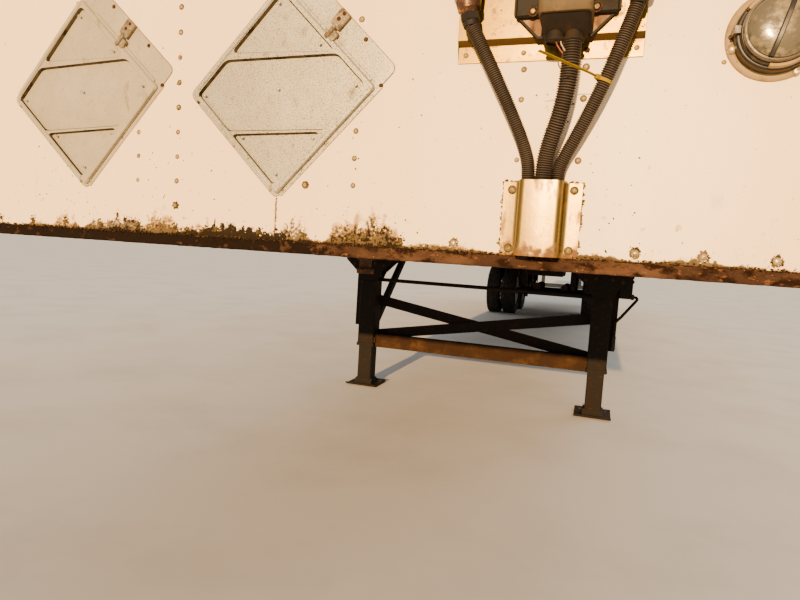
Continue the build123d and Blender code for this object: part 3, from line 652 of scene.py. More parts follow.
def end_tree(tree, geometry_out, finish):
    """Realise the instances, give them their finish and hand them out."""
    plain = add(tree, "GeometryNodeRealizeInstances", {0: geometry_out})
    done = add(tree, "GeometryNodeSetMaterial", {"Geometry": plain, "Material": finish})
    add(tree, "NodeGroupOutput", {0: done})


def spread(tree, given, head):
    """Instances of a head on the given points, each turned outwards with a little wobble."""
    outward = add(tree, "GeometryNodeInputNamedAttribute", {"Name": "outward"}, data_type="FLOAT_VECTOR")
    facing = add(tree, "FunctionNodeAlignRotationToVector", {"Vector": outward}, axis="Z")
    feeds = {"Min": (0, 0, 0), "Max": (0.05, 0.05, 6.28), "Seed": given["Seed"]}
    spin = add(tree, "FunctionNodeRandomValue", feeds, data_type="FLOAT_VECTOR")
    turn = add(tree, "FunctionNodeEulerToRotation", {0: spin})
    facing = add(tree, "FunctionNodeRotateRotation", {0: facing, 1: turn}, rotation_space="LOCAL")
    feeds = {2: calc(tree, "SUBTRACT", 1.0, given["Wobble"]), 3: calc(tree, "ADD", 1.0, given["Wobble"]),
             "Seed": given["Seed"]}
    size = add(tree, "FunctionNodeRandomValue", feeds, data_type="FLOAT").outputs[1]
    shape = add(tree, "ShaderNodeCombineXYZ", {0: given["Radius"], 1: given["Radius"], 2: given["Height"]})
    head = add(tree, "GeometryNodeTransform", {"Geometry": head, "Scale": shape})
    feeds = {"Points": given["Geometry"], "Instance": head, "Rotation": facing, "Scale": size}
    return add(tree, "GeometryNodeInstanceOnPoints", feeds)


HEAD_INPUTS = (("Radius", "Float", 0.0045), ("Height", "Float", 0.002), ("Sides", "Int", 12),
               ("Wobble", "Float", 0.06), ("Seed", "Int", 1), ("Finish", "Material", None))


def dome_tree():
    """Domed rivet and button heads, half sunk in what they sit on."""
    tree, given = new_tree("domed heads", HEAD_INPUTS)
    ball = add(tree, "GeometryNodeMeshUVSphere", {"Segments": given["Sides"], "Rings": 6, "Radius": 1.0})
    head = add(tree, "GeometryNodeSetShadeSmooth", {0: ball})
    end_tree(tree, spread(tree, given, head), given["Finish"])
    return tree


def hex_tree():
    """Hexagon heads on a round washer, with the corners of the head taken off."""
    tree, given = new_tree("hexagon heads", HEAD_INPUTS)
    body = add(tree, "GeometryNodeMeshCylinder", {"Vertices": 6, "Radius": 1.0, "Depth": 1.4})
    feeds = {"Vertices": 6, "Radius Top": 0.82, "Radius Bottom": 1.0, "Depth": 0.3}
    top = add(tree, "GeometryNodeMeshCone", feeds)
    top = add(tree, "GeometryNodeTransform", {"Geometry": top, "Translation": (0, 0, 0.7)})
    washer = add(tree, "GeometryNodeMeshCylinder", {"Vertices": 16, "Radius": 1.28, "Depth": 0.5})
    joined = add(tree, "GeometryNodeJoinGeometry")
    for part in (body, top, washer):
        tree.links.new(part.outputs[0], joined.inputs[0])
    head = add(tree, "GeometryNodeSetShadeSmooth", {0: joined, "Shade Smooth": False})
    end_tree(tree, spread(tree, given, head), given["Finish"])
    return tree


def crumb_tree():
    """Crumbs of rust and soil: rough lumps of differing size."""
    tree, given = new_tree("crumbs", HEAD_INPUTS)
    ball = add(tree, "GeometryNodeMeshIcoSphere", {"Radius": 1.0, "Subdivisions": 1})
    grain = add(tree, "ShaderNodeTexNoise", {"Scale": 1.4, "Detail": 3.0})
    push = ranged(tree, grain, 0.3, 0.7, 0.45, 1.35)
    here = add(tree, "GeometryNodeInputPosition")
    moved = add(tree, "ShaderNodeVectorMath", {0: here, "Scale": push}, operation="SCALE")
    lump = add(tree, "GeometryNodeSetPosition", {"Geometry": ball, "Position": moved})
    end_tree(tree, spread(tree, given, lump), given["Finish"])
    return tree


def loom_tree():
    """Corrugated tube along a line: its radius rises and falls with each rib."""
    tree, given = new_tree("corrugated loom", (("Radius", "Float", 0.011), ("Pitch", "Float", 0.0034),
                                               ("Depth", "Float", 0.12), ("Finish", "Material", None)))
    line = add(tree, "GeometryNodeMeshToCurve", {0: given["Geometry"]})
    step = calc(tree, "MULTIPLY", given["Pitch"], 0.25)
    line = add(tree, "GeometryNodeResampleCurve", {0: line, "Length": step}, mode="LENGTH")
    along = add(tree, "GeometryNodeSplineParameter").outputs["Length"]
    turns = calc(tree, "MULTIPLY", calc(tree, "DIVIDE", along, given["Pitch"]), 2 * pi)
    wave = ranged(tree, calc(tree, "COSINE", turns), -0.95, 0.05)
    size = calc(tree, "SUBTRACT", 1.0, calc(tree, "MULTIPLY", wave, given["Depth"]))
    # The groove mask, stored for the painted shade in the grooves.
    line = add(tree, "GeometryNodeStoreNamedAttribute", {"Geometry": line, "Name": "groove", "Value": wave},
               data_type="FLOAT", domain="POINT")
    ring = add(tree, "GeometryNodeCurvePrimitiveCircle", {"Resolution": 18, "Radius": given["Radius"]})
    tube = add(tree, "GeometryNodeCurveToMesh", {0: line, 1: ring, "Scale": size, "Fill Caps": True})
    tube = add(tree, "GeometryNodeSetShadeSmooth", {0: tube})
    end_tree(tree, tube, given["Finish"])
    return tree


TREES = {}


def grown(maker, points, edges, outward, **amounts):
    """The plain mesh that a tree makes from points, or from lines between them."""
    if maker not in TREES:
        TREES[maker] = maker()
    tree = TREES[maker]
    seed = bpy.data.meshes.new("seed")
    seed.from_pydata([tuple(p) for p in points], edges, [])
    if outward:
        way = seed.attributes.new("outward", "FLOAT_VECTOR", "POINT")
        way.data.foreach_set("vector", [v for w in outward for v in w])
    holder = bpy.data.objects.new("seed", seed)
    bpy.context.scene.collection.objects.link(holder)
    modifier = holder.modifiers.new("grow", "NODES")
    modifier.node_group = tree
    for item in tree.interface.items_tree:
        if item.in_out == "INPUT" and item.name in amounts:
            modifier[item.identifier] = amounts[item.name]
    graph = bpy.context.evaluated_depsgraph_get()
    made = bpy.data.meshes.new_from_object(holder.evaluated_get(graph), depsgraph=graph)
    holder.modifiers.clear()
    bpy.data.objects.remove(holder)
    return made


def heads(name, maker, rows, finish, radius, height, body="trailer", slot="forged_steel", sides=10,
          wobble=0.06):
    """Rivets or bolts on rows of (point, outward direction), as one piece."""
    mesh = grown(maker, [r[0] for r in rows], [], [r[1] for r in rows], Radius=radius, Height=height,
                 Sides=sides, Wobble=wobble, Seed=len(rows), Finish=finish_of(finish))
    return show(name, mesh, body)


def route(points):
    """Points read along the NURBS spline through a row of control points."""
    line = bpy.data.curves.new("route", "CURVE")
    line.dimensions, line.resolution_u = "3D", 24
    spline = line.splines.new("NURBS")
    spline.points.add(len(points) - 1)
    for place, point in zip(spline.points, points):
        place.co = (*point, 1.0)
    spline.order_u, spline.use_endpoint_u = 3, True
    holder = bpy.data.objects.new("route", line)
    bpy.context.scene.collection.objects.link(holder)
    graph = bpy.context.evaluated_depsgraph_get()
    mesh = bpy.data.meshes.new_from_object(holder.evaluated_get(graph), depsgraph=graph)
    read = [v.co.copy() for v in mesh.vertices]
    bpy.data.objects.remove(holder)
    return read


# Sizes and colours that a user would change

def length(name, description, default, least):
    """A size in metres."""
    return FloatProperty(name=name, description=description, default=default, min=least, unit="LENGTH")


def hue(name, description, default):
    """A colour, given as linear red, green and blue."""
    return FloatVectorProperty(name=name, description=description, default=default, min=0, max=1,
                               subtype="COLOR")


class TrailerSizes(bpy.types.PropertyGroup):
    """Sizes of what is fixed to the trailer."""
    rivet_radius: length("Rivet radius", "Radius of a rivet head", 0.0046, 0.001)
    rivet_height: length("Rivet height", "How far a rivet head stands out", 0.0022, 0.0005)
    bolt_radius: length("Sill bolt radius", "Radius of a bolt head on the sill line", 0.0064, 0.002)
    rib_pitch: length("Loom rib pitch", "Distance between the ribs of a loom", 0.004, 0.001)
    rib_depth: FloatProperty(name="Loom rib depth", description="Depth of a rib as a share of the radius",
                             default=0.18, min=0.0, max=0.4, subtype="FACTOR")
    groove_depth: length("Tread depth", "Depth of the grooves in the tyre tread", 0.01, 0.001)
    film_width: length("Film width", "Width of the reflecting film on the rails", 0.05, 0.01)
    bow_pitch: length("Roof bow pitch", "Distance between the roof bows", BOW_PITCH, 0.2)


class TrailerColours(bpy.types.PropertyGroup):
    """Colours of the trailer and of its studio."""
    # Peach by default rather than white: painted warm sunlight.
    nose: hue("Nose enamel", "Colour of the nose wall", linear("#FBE1B9")[:3])
    body: hue("Body enamel", "Colour of the sides, roof rails and doors", linear("#F3E6CE")[:3])
    chassis: hue("Chassis black", "Colour of the paint on the running gear", linear("#100D0B")[:3])
    floor: hue("Studio floor", "Colour of the studio floor", linear("#D9D3C9")[:3])
    sun: hue("Key light", "Colour of the low key light", (1.0, 0.61, 0.25))
    sun_power: FloatProperty(name="Key strength", description="Strength of the low key light",
                             default=11.0, min=0.0)
    sky_power: FloatProperty(name="Fill strength", description="Strength of the light from all round",
                             default=0.8, min=0.0)


# Nose

# Mounds of dirt on the sill: the middle, half width and height of each, and how much of
# the brown halo, the grime and the black soil it holds
Mound = namedtuple("Mound", "x half height halo grime soil")
MOUNDS = (
    Mound(-0.255, 0.03, 0.03, 1.0, 0.45, 0.3), Mound(-0.335, 0.035, 0.012, 0.8, 0.5, 0.2),
    Mound(-0.15, 0.036, 0.03, 0.4, 0.85, 0.4), Mound(-0.082, 0.042, 0.038, 0.4, 0.95, 0.6),
    Mound(0.012, 0.034, 0.042, 1.2, 0.75, 0.35), Mound(0.1, 0.05, 0.028, 0.8, 0.8, 0.7),
    Mound(0.19, 0.06, 0.032, 0.5, 1.0, 1.15), Mound(0.27, 0.045, 0.026, 0.3, 0.85, 1.0),
    Mound(0.335, 0.028, 0.044, 0.35, 0.85, 0.35), Mound(0.455, 0.036, 0.044, 1.15, 0.85, 0.5),
    Mound(0.505, 0.042, 0.05, 1.2, 0.95, 0.6), Mound(0.64, 0.06, 0.012, 0.9, 0.6, 0.2),
    Mound(0.905, 0.03, 0.012, 0.6, 0.8, 0.1), Mound(1.06, 0.04, 0.012, 0.4, 0.8, 0.1),
)
# Streaks below the placard holders: x, top, bottom and strength
STREAKS = ((0.2935, 1.2985, 1.224, 0.8), (-0.194, 1.302, 1.25, 0.22))


def mound(x, h, layer="soil"):
    """How thickly a layer of dirt lies on the nose wall at x, h above the sill."""
    thick, h = 0.0, 0.8 * max(h, 0.0) * (1 + 0.5 * noise.noise(Vector((x * 110, 2.0, h * 30))))
    for m in MOUNDS:
        top = m.height * exp(-((x - m.x) / (m.half * 1.25)) ** 4) + 1e-6
        thick = max(thick, getattr(m, layer) * (1 - (h / top) ** (1 if layer == "halo" else 1.4)))
    return thick


class TRAILER_OT_nose_wall(bpy.types.Operator):
    """The nose wall sheet with its slight waves and the dirt along its foot"""
    bl_idname = "trailer.nose_wall"
    bl_label = "Nose wall"

    def execute(self, context):
        low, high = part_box("front_wall")
        xs = sorted(set(np.round(np.concatenate([
            np.linspace(low.x, -0.52, 28), np.arange(-0.515, high.x - 0.002, 0.005), [high.x],
            *[[x - 0.003, x - 0.0015, x, x + 0.0015, x + 0.003] for x, *_ in STREAKS]]), 5)))
        zs = sorted(set(np.round(np.concatenate([
            np.arange(low.z, low.z + 0.06, 0.003), np.arange(low.z + 0.06, 1.69, 0.012),
            np.linspace(1.7, high.z, 40)]), 5)))
        columns, rows = len(xs), len(zs)
        points, paint = [], {"halo": [], "grime": [], "soil": []}
        for z in zs:
            for x in xs:
                h = z - low.z
                wave = 0.0006 * sin(x * 2 * pi / 0.4064) * sin(z * 5.1 + 1.0)
                wave += 0.0005 * noise.noise(Vector((x * 2.2, 0, z * 1.6)))
                edge = min(1, h / 0.05, (high.x - abs(x)) / 0.05, (high.z - z) / 0.05)
                points.append((x, low.y + wave * max(edge, 0), z))
                marks = {"halo": 0.0, "grime": 0.0, "soil": 0.0}
                if h < 0.08:
                    rough = noise.fractal(Vector((x * 60, 3.0, z * 90)), 1.0, 2.0, 4) * 0.35
                    reach = 0.0045 + 0.0055 * max(0.0, noise.noise(Vector((x * 16, 1.0, 4.0))) + 0.35)
                    thin = exp(-(h / reach) ** 2)
                    dark = mound(x, h, "soil")
                    soil = dark + (rough * 0.8 if dark > 0.05 else 0)
                    marks["soil"] = soil + 0.45 * exp(-h / 0.0022) - 0.08
                    marks["grime"] = mound(x, h, "grime") + 0.6 * thin + rough * 0.9 * (thin > 0.05)
                    marks["halo"] = mound(x, h * 0.8, "halo") + 0.75 * thin + rough * 0.8
                for middle, top, foot, amount in STREAKS:
                    if foot < z < top:
                        for name, reach, share in (("grime", 0.0032, 1.0), ("halo", 0.006, 0.8)):
                            line = share * amount * (1 - abs(x - middle) / reach)
                            marks[name] = max(marks[name], line)
                for name, value in marks.items():
                    paint[name].append(min(max(value, 0.0), 1.0))
        faces = [(r * columns + c, r * columns + c + 1, (r + 1) * columns + c + 1, (r + 1) * columns + c)
                 for r in range(rows - 1) for c in range(columns - 1)]
        rim = [r * columns for r in range(rows)] + [(rows - 1) * columns + c for c in range(1, columns)]
        rim += [r * columns + columns - 1 for r in range(rows - 2, -1, -1)]
        rim += [c for c in range(columns - 2, 0, -1)]
        first, count = len(points), len(rim)
        points += [(points[i][0], high.y, points[i][2]) for i in rim]
        faces += [(rim[i], first + i, first + (i + 1) % count, rim[(i + 1) % count]) for i in range(count)]
        faces.append(tuple(range(first, first + count)))
        mesh = bpy.data.meshes.new("nose_wall")
        mesh.from_pydata(points, [], faces)
        for name, values in paint.items():
            layer = mesh.attributes.new(name, "FLOAT", "POINT")
            layer.data.foreach_set("value", values + [0.0] * count)
        mesh.materials.append(finish_of("nose_enamel"))
        tidy(mesh)
        show("nose_wall", mesh, replaces=["front_wall"])
        return {"FINISHED"}


class TRAILER_OT_nose_rivets(bpy.types.Operator):
    """Rivet columns over the nose posts and the bolts along the sill line"""
    bl_idname = "trailer.nose_rivets"
    bl_label = "Nose rivets"

    def execute(self, context):
        s = context.scene.trailer_sizes
        rivets, rusty, foot = [], [], 1.2755
        # Each column: its x, and the numbers of its first and last rivet
        for x, first, last in ((-0.8636, 0, 53), (-0.762, 0, 53), (-0.0508, 1, 3), (-0.0508, 12, 53),
                               (0.0508, 1, 53), (0.3556, 12, 53), (0.4572, 1, 53), (0.762, 0, 53),
                               (0.8636, 0, 53)):
            for n in range(first, last + 1):
                z = foot + RIVET_PITCH * n
                # No rivets show under the placard holders, the hose plate and the loom cover
                holder = any(abs(x - p.x) + abs(z - p.z) < 0.235 for p in PLACARDS)
                if holder or (0.64 < x < 0.955 and 1.535 < z < 1.905) or (0.74 < x < 0.88 and z < 1.345):
                    continue
                group = rusty if (n * 7 + int(x * 90)) % 23 == 0 and z > 1.75 else rivets
                group.append(((x, NOSE, z), FRONT))
        rivets += [((side * 1.2283, NOSE, foot + BOLT_PITCH * n), FRONT) for side in (-1, 1)
                   for n in range(27)]
        rivets += [((BOLT_PITCH * n, NOSE, 4.0175), FRONT) for n in range(-11, 12)]
        size = (s.rivet_radius, s.rivet_height)
        heads("nose_rivets", dome_tree, rivets, "weathered_rivet", *size)
        heads("nose_rivets_rusty", dome_tree, rusty, "rusted_screw", *size)
        heads("nose_rivet_dirt", dome_tree, rivets + rusty, "rivet_dirt", s.rivet_radius * 1.25, 0.0006,
              slot="white_paint", wobble=0.12)
        # The loom cover stands in the place of two of the bolts
        places = [1.1684 - BOLT_PITCH * n for n in range(24)]
        bolts = [((x, NOSE, 1.2283), FRONT) for x in places if not 0.74 < x < 0.88]
        clean, soiled = [b for b in bolts if b[0][0] > 0.6], [b for b in bolts if b[0][0] < 0.6]
        heads("sill_bolts", dome_tree, clean, "plated_bolt", s.bolt_radius, 0.0036, sides=16)
        heads("sill_bolts_soiled", dome_tree, soiled, "rivet_dirt", s.bolt_radius * 0.8, 0.0026,
              sides=16)
        for name, group, finish in (("sealant", clean, "old_sealant"), ("crust", soiled, "dirt_crust")):
            lumps = []
            for (x, y, z), way in group:
                for n in range(22 if finish == "old_sealant" else 7):
                    away = s.bolt_radius * (0.95 + 0.5 * (n * 0.37 + x * 9) % 0.45)
                    lumps.append(((x + away * cos(n * 2.4 + x), y, z + away * sin(n * 2.4 + x)), way))
            heads("sill_bolt_" + name, crumb_tree, lumps, finish, s.bolt_radius * 0.38, 0.0013,
                  slot="white_paint", wobble=0.45)
        star = Shape()
        for x, z, radius, low in ((0.051, 1.275, 0.0085, 0.72), (0.357, 1.325, 0.0078, 0.93)):
            where = placed((x, NOSE, z), FRONT)
            lobes = [1.0 if n % 4 < 2 else low for n in range(24)]
            points = [(r * radius * cos(2 * pi * n / 24), r * radius * sin(2 * pi * n / 24))
                      for n, r in enumerate(lobes)]
            star.slab(points, -0.001, 0.0022, where=where)
            star.lathe(mm((0, 0), (4.2, 0), (4.2, 3), (3, 4.4), (0, 4.8)), where, 1, 14)
        star.piece("odd_fasteners", ["rivet_dirt", "weathered_rivet"], slot="forged_steel")
        return {"FINISHED"}


class TRAILER_OT_sill(bpy.types.Operator):
    """The rusted sill under the nose wall, its flaking lip and the crumbs that lie along it"""
    bl_idname = "trailer.sill"
    bl_label = "Front sill"

    def execute(self, context):
        low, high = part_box("front_sill")
        face, back, foot, top, radius = low.y, high.y, low.z, high.z, 0.048
        inner = high.x - radius
        right = [(inner + radius * sin(a), face + radius * (1 - cos(a))) for a in np.linspace(0, pi / 2, 12)]
        left = [(-x, y) for x, y in reversed(right)]
        plan = left + [(x, face) for x in np.arange(0.004 - inner, inner - 0.002, 0.004)] + right
        # Levels down the section: how far in from the lip, the height and how much it crumbles
        levels = ((0.012, top, 0.0), (0.0035, top, 1.0), (0.0012, top - 0.001, 1.2), (0.0, top - 0.004, 1.0),
                  (0.0, top - 0.008, 0.9), (0.0, top - 0.012, 0.9), (0.0003, top - 0.016, 1.0),
                  (0.001, foot + 0.0015, 1.2), (0.003, foot, 1.0), (0.012, foot, 0.3))
        rings = []
        for x, y in plan:
            side = -1 if x < 0 else 1
            turn = Vector((0, 1, 0))
            if abs(x) > inner:
                turn = Vector((side * inner - x, face + radius - y, 0)).normalized()
            ring = []
            for inward, z, crumble in levels:
                rough = 0.0011 * noise.fractal(Vector((x * 42, z * 160, 1.7)), 1.0, 2.1, 5) * crumble
                chip = max(0, noise.noise(Vector((x * 17, z * 60, 5.0))) - 0.25) * 0.005
                lift = 0.0008 * crumble * noise.noise(Vector((x * 70, 9.0, z * 20)))
                ring.append((x + turn.x * (inward + chip + rough), y + turn.y * (inward + chip + rough),
                             z + lift))
            end = x if abs(x) < inner else side * high.x
            rings.append(ring + [(end, back, foot), (end, back, top)])
        shape = Shape()
        shape.loft(rings)
        shape.piece("front_sill_rusted", ["rusted_steel"], slot="rusty_steel", replaces=["front_sill"],
                    smooth=60)

        flakes = Shape()
        state = np.random.default_rng(7)
        for n in range(210):
            x = -1.18 + 2.36 * (n + state.uniform(0, 0.8)) / 210
            length, height = state.uniform(0.006, 0.028), state.uniform(0.002, 0.007)
            z, tip = top + state.uniform(-0.003, 0.0008), state.uniform(-0.3, 0.3)
            lift = state.uniform(0.0004, 0.0022)
            ring = [(x - length / 2, face - 0.0002, z - height),
                    (x - length * 0.2, face - lift, z + height * 0.3),
                    (x + length * tip, face - lift * 1.3, z + height * 0.5),
                    (x + length / 2, face - 0.0003, z - height * 0.7),
                    (x + length * 0.1, face - 0.0008, z - height * 1.6)]
            flakes.loft([ring, [(a, b + 0.0009, c) for a, b, c in ring]])
        flakes.piece("sill_flakes", ["rusted_steel"], slot="rusty_steel", smooth=20)

        crumbs, specks = [], []
        for _ in range(1500):
            x = state.uniform(-1.2, 1.2)
            pile = max(mound(x, 0.0), 0.16 if x < 0.6 else 0.08)
            if state.uniform(0, 1) < pile:
                z = top + state.uniform(-0.0005, 0.0035) * (0.4 + pile)
                crumbs.append(((x, NOSE - state.uniform(0.0005, 0.004), z), UP))
        heads("sill_crumbs", crumb_tree, crumbs, "dirt_crust", 0.0019, 0.0013, slot="rusty_steel", wobble=0.6)
        for _ in range(420):
            x, z = state.uniform(-0.9, 1.22), top + abs(state.normal(0, 0.16))
            specks.append(((x, NOSE, min(z, 1.9)), FRONT))
        heads("nose_specks", crumb_tree, specks, "dirt_crust", 0.0014, 0.0003, slot="white_paint", wobble=0.7)
        return {"FINISHED"}


class TRAILER_OT_frame_finish(bpy.types.Operator):
    """The finish of every part that stays as it was built, its edges rounded"""
    bl_idname = "trailer.frame_finish"
    bl_label = "Frame finish"

    def execute(self, context):
        for (finish, bevel), names in CARRIED.items():
            for name in names:
                dress(name, finish, bevel)
        return {"FINISHED"}


# The parts that stay as built, by their finish and the radius of their edges
CARRIED = {
    ("side_enamel", 0.002): ("front_posts", "front_header", "top_rails"),
    ("side_enamel", 0.001): ("side_wall_left", "side_wall_right"),
    ("mill_aluminium", 0.002): ("bottom_rails",),
    ("mill_aluminium", 0.001): ("roof",),
    ("laminated_oak", 0.001): ("floor",),
    ("chassis_black", 0.001): ("floor_beams", "landing_braces", "cross_shaft", "crank_handle"),
    ("chassis_black", 0.002): ("upper_coupler", "landing_feet", "spring_hangers", "axles", "air_tanks"),
    ("rusty_iron", 0.001): ("kingpin", "leaf_springs"),
    ("galvanised_steel", 0.003): ("rear_posts", "rear_header", "rear_sill", "underride_guard"),
    ("side_enamel", 0.0015): ("door_left", "door_right"),
    ("galvanised_steel", 0.001): ("door_fittings_left", "door_fittings_right"),
    ("red_acrylic", 0.002): ("red_lamps",),
    ("amber_acrylic", 0.002): ("amber_lamps",),
    ("chassis_black", 0.003): ("landing_legs", "slider_frame"),
    ("chassis_black", 0.004): ("landing_gearbox",),
    ("beam_rust", 0.003): ("landing_beam",),
    ("rusty_iron", 0.003): ("brake_chambers",),
    ("flap_rubber", 0.001): ("mud_flaps",),
    ("passivated_sheet", 0.0006): ("hose_plate",),
    ("stained_sheet", 0.0012): ("socket_plate",),
    ("rusty_iron", 0.002): ("hub_front_left", "hub_front_right", "hub_rear_left", "hub_rear_right"),
    ("wheel_enamel", 0.002): ("rims_front_left", "rims_front_right", "rims_rear_left", "rims_rear_right"),
}


# Placard holders. The local frame of each has its origin at the lowest corner, the first
# axis up to the right, the second up to the left and the third out of the wall, in mm.

Placard = namedtuple("Placard", "x z turn finish")
PLACARDS = (Placard(-0.188, 1.53, 42.5, "dull_placard_sheet"), Placard(0.307, 1.522, 44.5, "placard_sheet"))
WINDOWS = (((131, 277), (278, 277), (278, 117)),
           ((16, 276), (106, 276), (278, 104), (278, 22), (169, 22), (16, 175)),
           ((17, 158), (17, 24), (154, 24)))
LIPS = (((8, 17), (22, 272)), ((24, 284), (3.5, 12.5)), ((22, 284), (281, 290)))
SCREWS = ((335, 213, 1, 1.5), (336, 84, 1, 1.5), (300, 0, 1, 1.5), (151, 2, 0, 1.5), (24, 2, 0, 1.5),
          (3, 147, 0, 1.5), (3, 22, 0, 1.5), (4, 271, 1, 1.5), (24, 291, 0, 1.5), (152, 293, 0, 1.5),
          (277, 297, 0, 1.5), (339, 147, 1, 8), (325, 149, 1, 8), (332, 140, 0, 8))
PEGS = ((268, 146), (267, 35), (139, 26), (29, 140), (34, 34), (262, 268), (135, 262), (25, 265), (150, 150))


class TRAILER_OT_placards(bpy.types.Operator):
    """The two diamond placard holders, blank, with their trays, latches and screws"""
    bl_idname = "trailer.placards"
    bl_label = "Placard holders"

    def execute(self, context):
        shape, screws = Shape(), ([], [])
        for kind, row in enumerate(PLACARDS):
            turn = radians(row.turn)
            across, over = Vector((sin(turn), 0, cos(turn))), Vector((-cos(turn), 0, sin(turn)))
            corner = Vector((row.x, NOSE, row.z)) - across * 0.1715 - over * 0.1485
            where = Matrix.Translation(corner) @ Matrix((across, over, FRONT)).transposed().to_4x4()
            where = where @ Matrix.Scale(MM, 4)
            # A thin dark rim under each holder, in the groove finish: dirt in the gap to the wall and painted
            # shade.
            shape.slab(rectangle(-0.9, 343.9, -0.9, 297.9, 16), 0, 0.7, kind=2, where=where)
            shape.slab(rectangle(0, 343, 0, 297, 15), 0, 1.5, edge=0.4, kind=kind, where=where)
            shape.slab(rectangle(12, 301, -5, 3, 2), 0, 2.6, edge=0.6, kind=kind, where=where)
            windows = [soft(hole, 9) for hole in WINDOWS]
            # The windows' slopes take the dark groove finish: painted shade in the recesses.
            shape.pressed(rectangle(8, 292, 3.5, 290, 8), windows, 9, 2, 3, kind, 2, where)
            for a, b in LIPS:
                shape.slab(rectangle(*a, *b, 4), 8, 11, edge=1.2, kind=kind, where=where)
            shape.slab(rectangle(291, 297, 20, 242, 2), 1, 4.5, edge=1, kind=kind, where=where)
            for a, b, low, high in (((309, 345), (134, 160), 1, 9), ((283, 313), (141, 150), 8, 12),
                                    ((286, 306), (128, 141), 1, 10)):
                shape.slab(rectangle(*a, *b, 4), low, high, edge=1.2, kind=3, where=where)
            for u, v in PEGS:
                ring = [(0, 0.3), (1.4, 0.3), (1.9, 1.3), (2.8, 1.1), (3.2, -0.5), (0, -0.5)]
                shape.lathe(ring, where @ Matrix.Translation((u, v, 9)), kind, 12)
            for u, v, rusty, level in SCREWS:
                screws[rusty].append((where @ Vector((u, v, level)), FRONT))
        shape.piece("placard_holders_pressed",
                    [*[row.finish for row in PLACARDS], "placard_groove", "latch_steel"],
                    slot="mill_aluminium", replaces=["placard_holders"], smooth=28)
        heads("placard_screws", dome_tree, screws[0], "weathered_rivet", 0.0042, 0.0024)
        heads("placard_screws_rusty", dome_tree, screws[1], "rusted_screw", 0.0046, 0.0026)
        return {"FINISHED"}


# Hose station

# Middle lines of the looms: the radius, the rib pitch as a share, and the points, whose y is
# the distance in front of the nose wall
Loom = namedtuple("Loom", "radius pitch points")
LOOMS = (
    Loom(0.011, 0.86, ((0.676, -0.048, 1.592), (0.714, -0.047, 1.522), (0.749, -0.038, 1.456),
                       (0.775, -0.022, 1.4), (0.7872, -0.013, 1.354), (0.7872, -0.013, 1.217))),
    Loom(0.014, 1.0, ((0.842, -0.05, 1.554), (0.842, -0.05, 1.504), (0.832, -0.044, 1.444),
                      (0.815, -0.029, 1.392), (0.8098, -0.0245, 1.352), (0.8098, -0.0245, 1.217))),
    Loom(0.011, 0.86, ((0.935, -0.048, 1.611), (0.915, -0.05, 1.545), (0.89, -0.044, 1.478),
                       (0.861, -0.03, 1.415), (0.839, -0.017, 1.374), (0.8324, -0.013, 1.348),
                       (0.8324, -0.013, 1.217))),
)


def out(x, away, z):
    """A point at a distance in front of the nose wall."""
    return Vector((x, NOSE - away, z))


class TRAILER_OT_looms(bpy.types.Operator):
    """The corrugated looms, the loose wires at their top and the cable tie"""
    bl_idname = "trailer.looms"
    bl_label = "Looms"

    def execute(self, context):
        s = context.scene.trailer_sizes
        parts = []
        for row in LOOMS:
            line = route([out(x, -y, z) for x, y, z in row.points])
            edges = [(i, i + 1) for i in range(len(line) - 1)]
            parts.append(grown(loom_tree, line, edges, None, Radius=row.radius * 1.08,
                               Pitch=s.rib_pitch * row.pitch, Depth=s.rib_depth,
                               Finish=finish_of("dusty_loom")))
        work = bmesh.new()
        for part in parts:
            work.from_mesh(part)
        mesh = parts[0]
        work.to_mesh(mesh)
        work.free()
        show("looms_ribbed", mesh, replaces=["looms"])

        wires = Shape()
        for kind, points in ((0, (out(0.8165, 0.05, 1.566), out(0.817, 0.06, 1.551), out(0.822, 0.064, 1.541),
                                  out(0.829, 0.06, 1.533))),
                             (1, (out(0.822, 0.05, 1.566), out(0.8245, 0.06, 1.55), out(0.8275, 0.064, 1.543),
                                  out(0.832, 0.06, 1.537)))):
            wires.sweep(route(points), polygon(0.0012, 8), kind, up=(0, 1, 0))
        wires.piece("loose_wires", ["orange_insulation", "white_insulation"], slot="black_plastic", smooth=60)

        tie = Shape()
        middle, axis = out(0.8935, 0.046, 1.4935), Vector((0.35, -0.08, 0.93)).normalized()
        where = placed(middle, axis, FRONT)
        hoop = [where @ Vector((0.0121 * cos(a), 0.0121 * sin(a), 0))
                for a in np.linspace(0, 2 * pi, 33)[:-1]]
        tie.sweep(hoop, rectangle(-0.0007, 0.0007, -0.0025, 0.0025), up=axis, closed=True)
        # The tail stands out from the wall, edge on to the low light
        tail = route([out(0.884, 0.0565, 1.4965), out(0.8729, 0.068, 1.4997), out(0.8512, 0.089, 1.503),
                      out(0.8309, 0.12, 1.5035), out(0.8113, 0.147, 1.5055), out(0.8032, 0.156, 1.5063)])
        tie.sweep(tail, rectangle(-0.0006, 0.0006, -0.0024, 0.0024), up=(0, 0.98, -0.2))
        along = (Vector(tail[0]) - Vector(tail[3])).normalized()
        tie.block((-0.004, 0.004), (-0.0037, 0.0037), (-0.0035, 0.0045), 0.0008,
                  where=placed(tail[0], along, FRONT))
        tie.piece("cable_tie", ["yellow_nylon"], slot="grey_plastic")
        return {"FINISHED"}


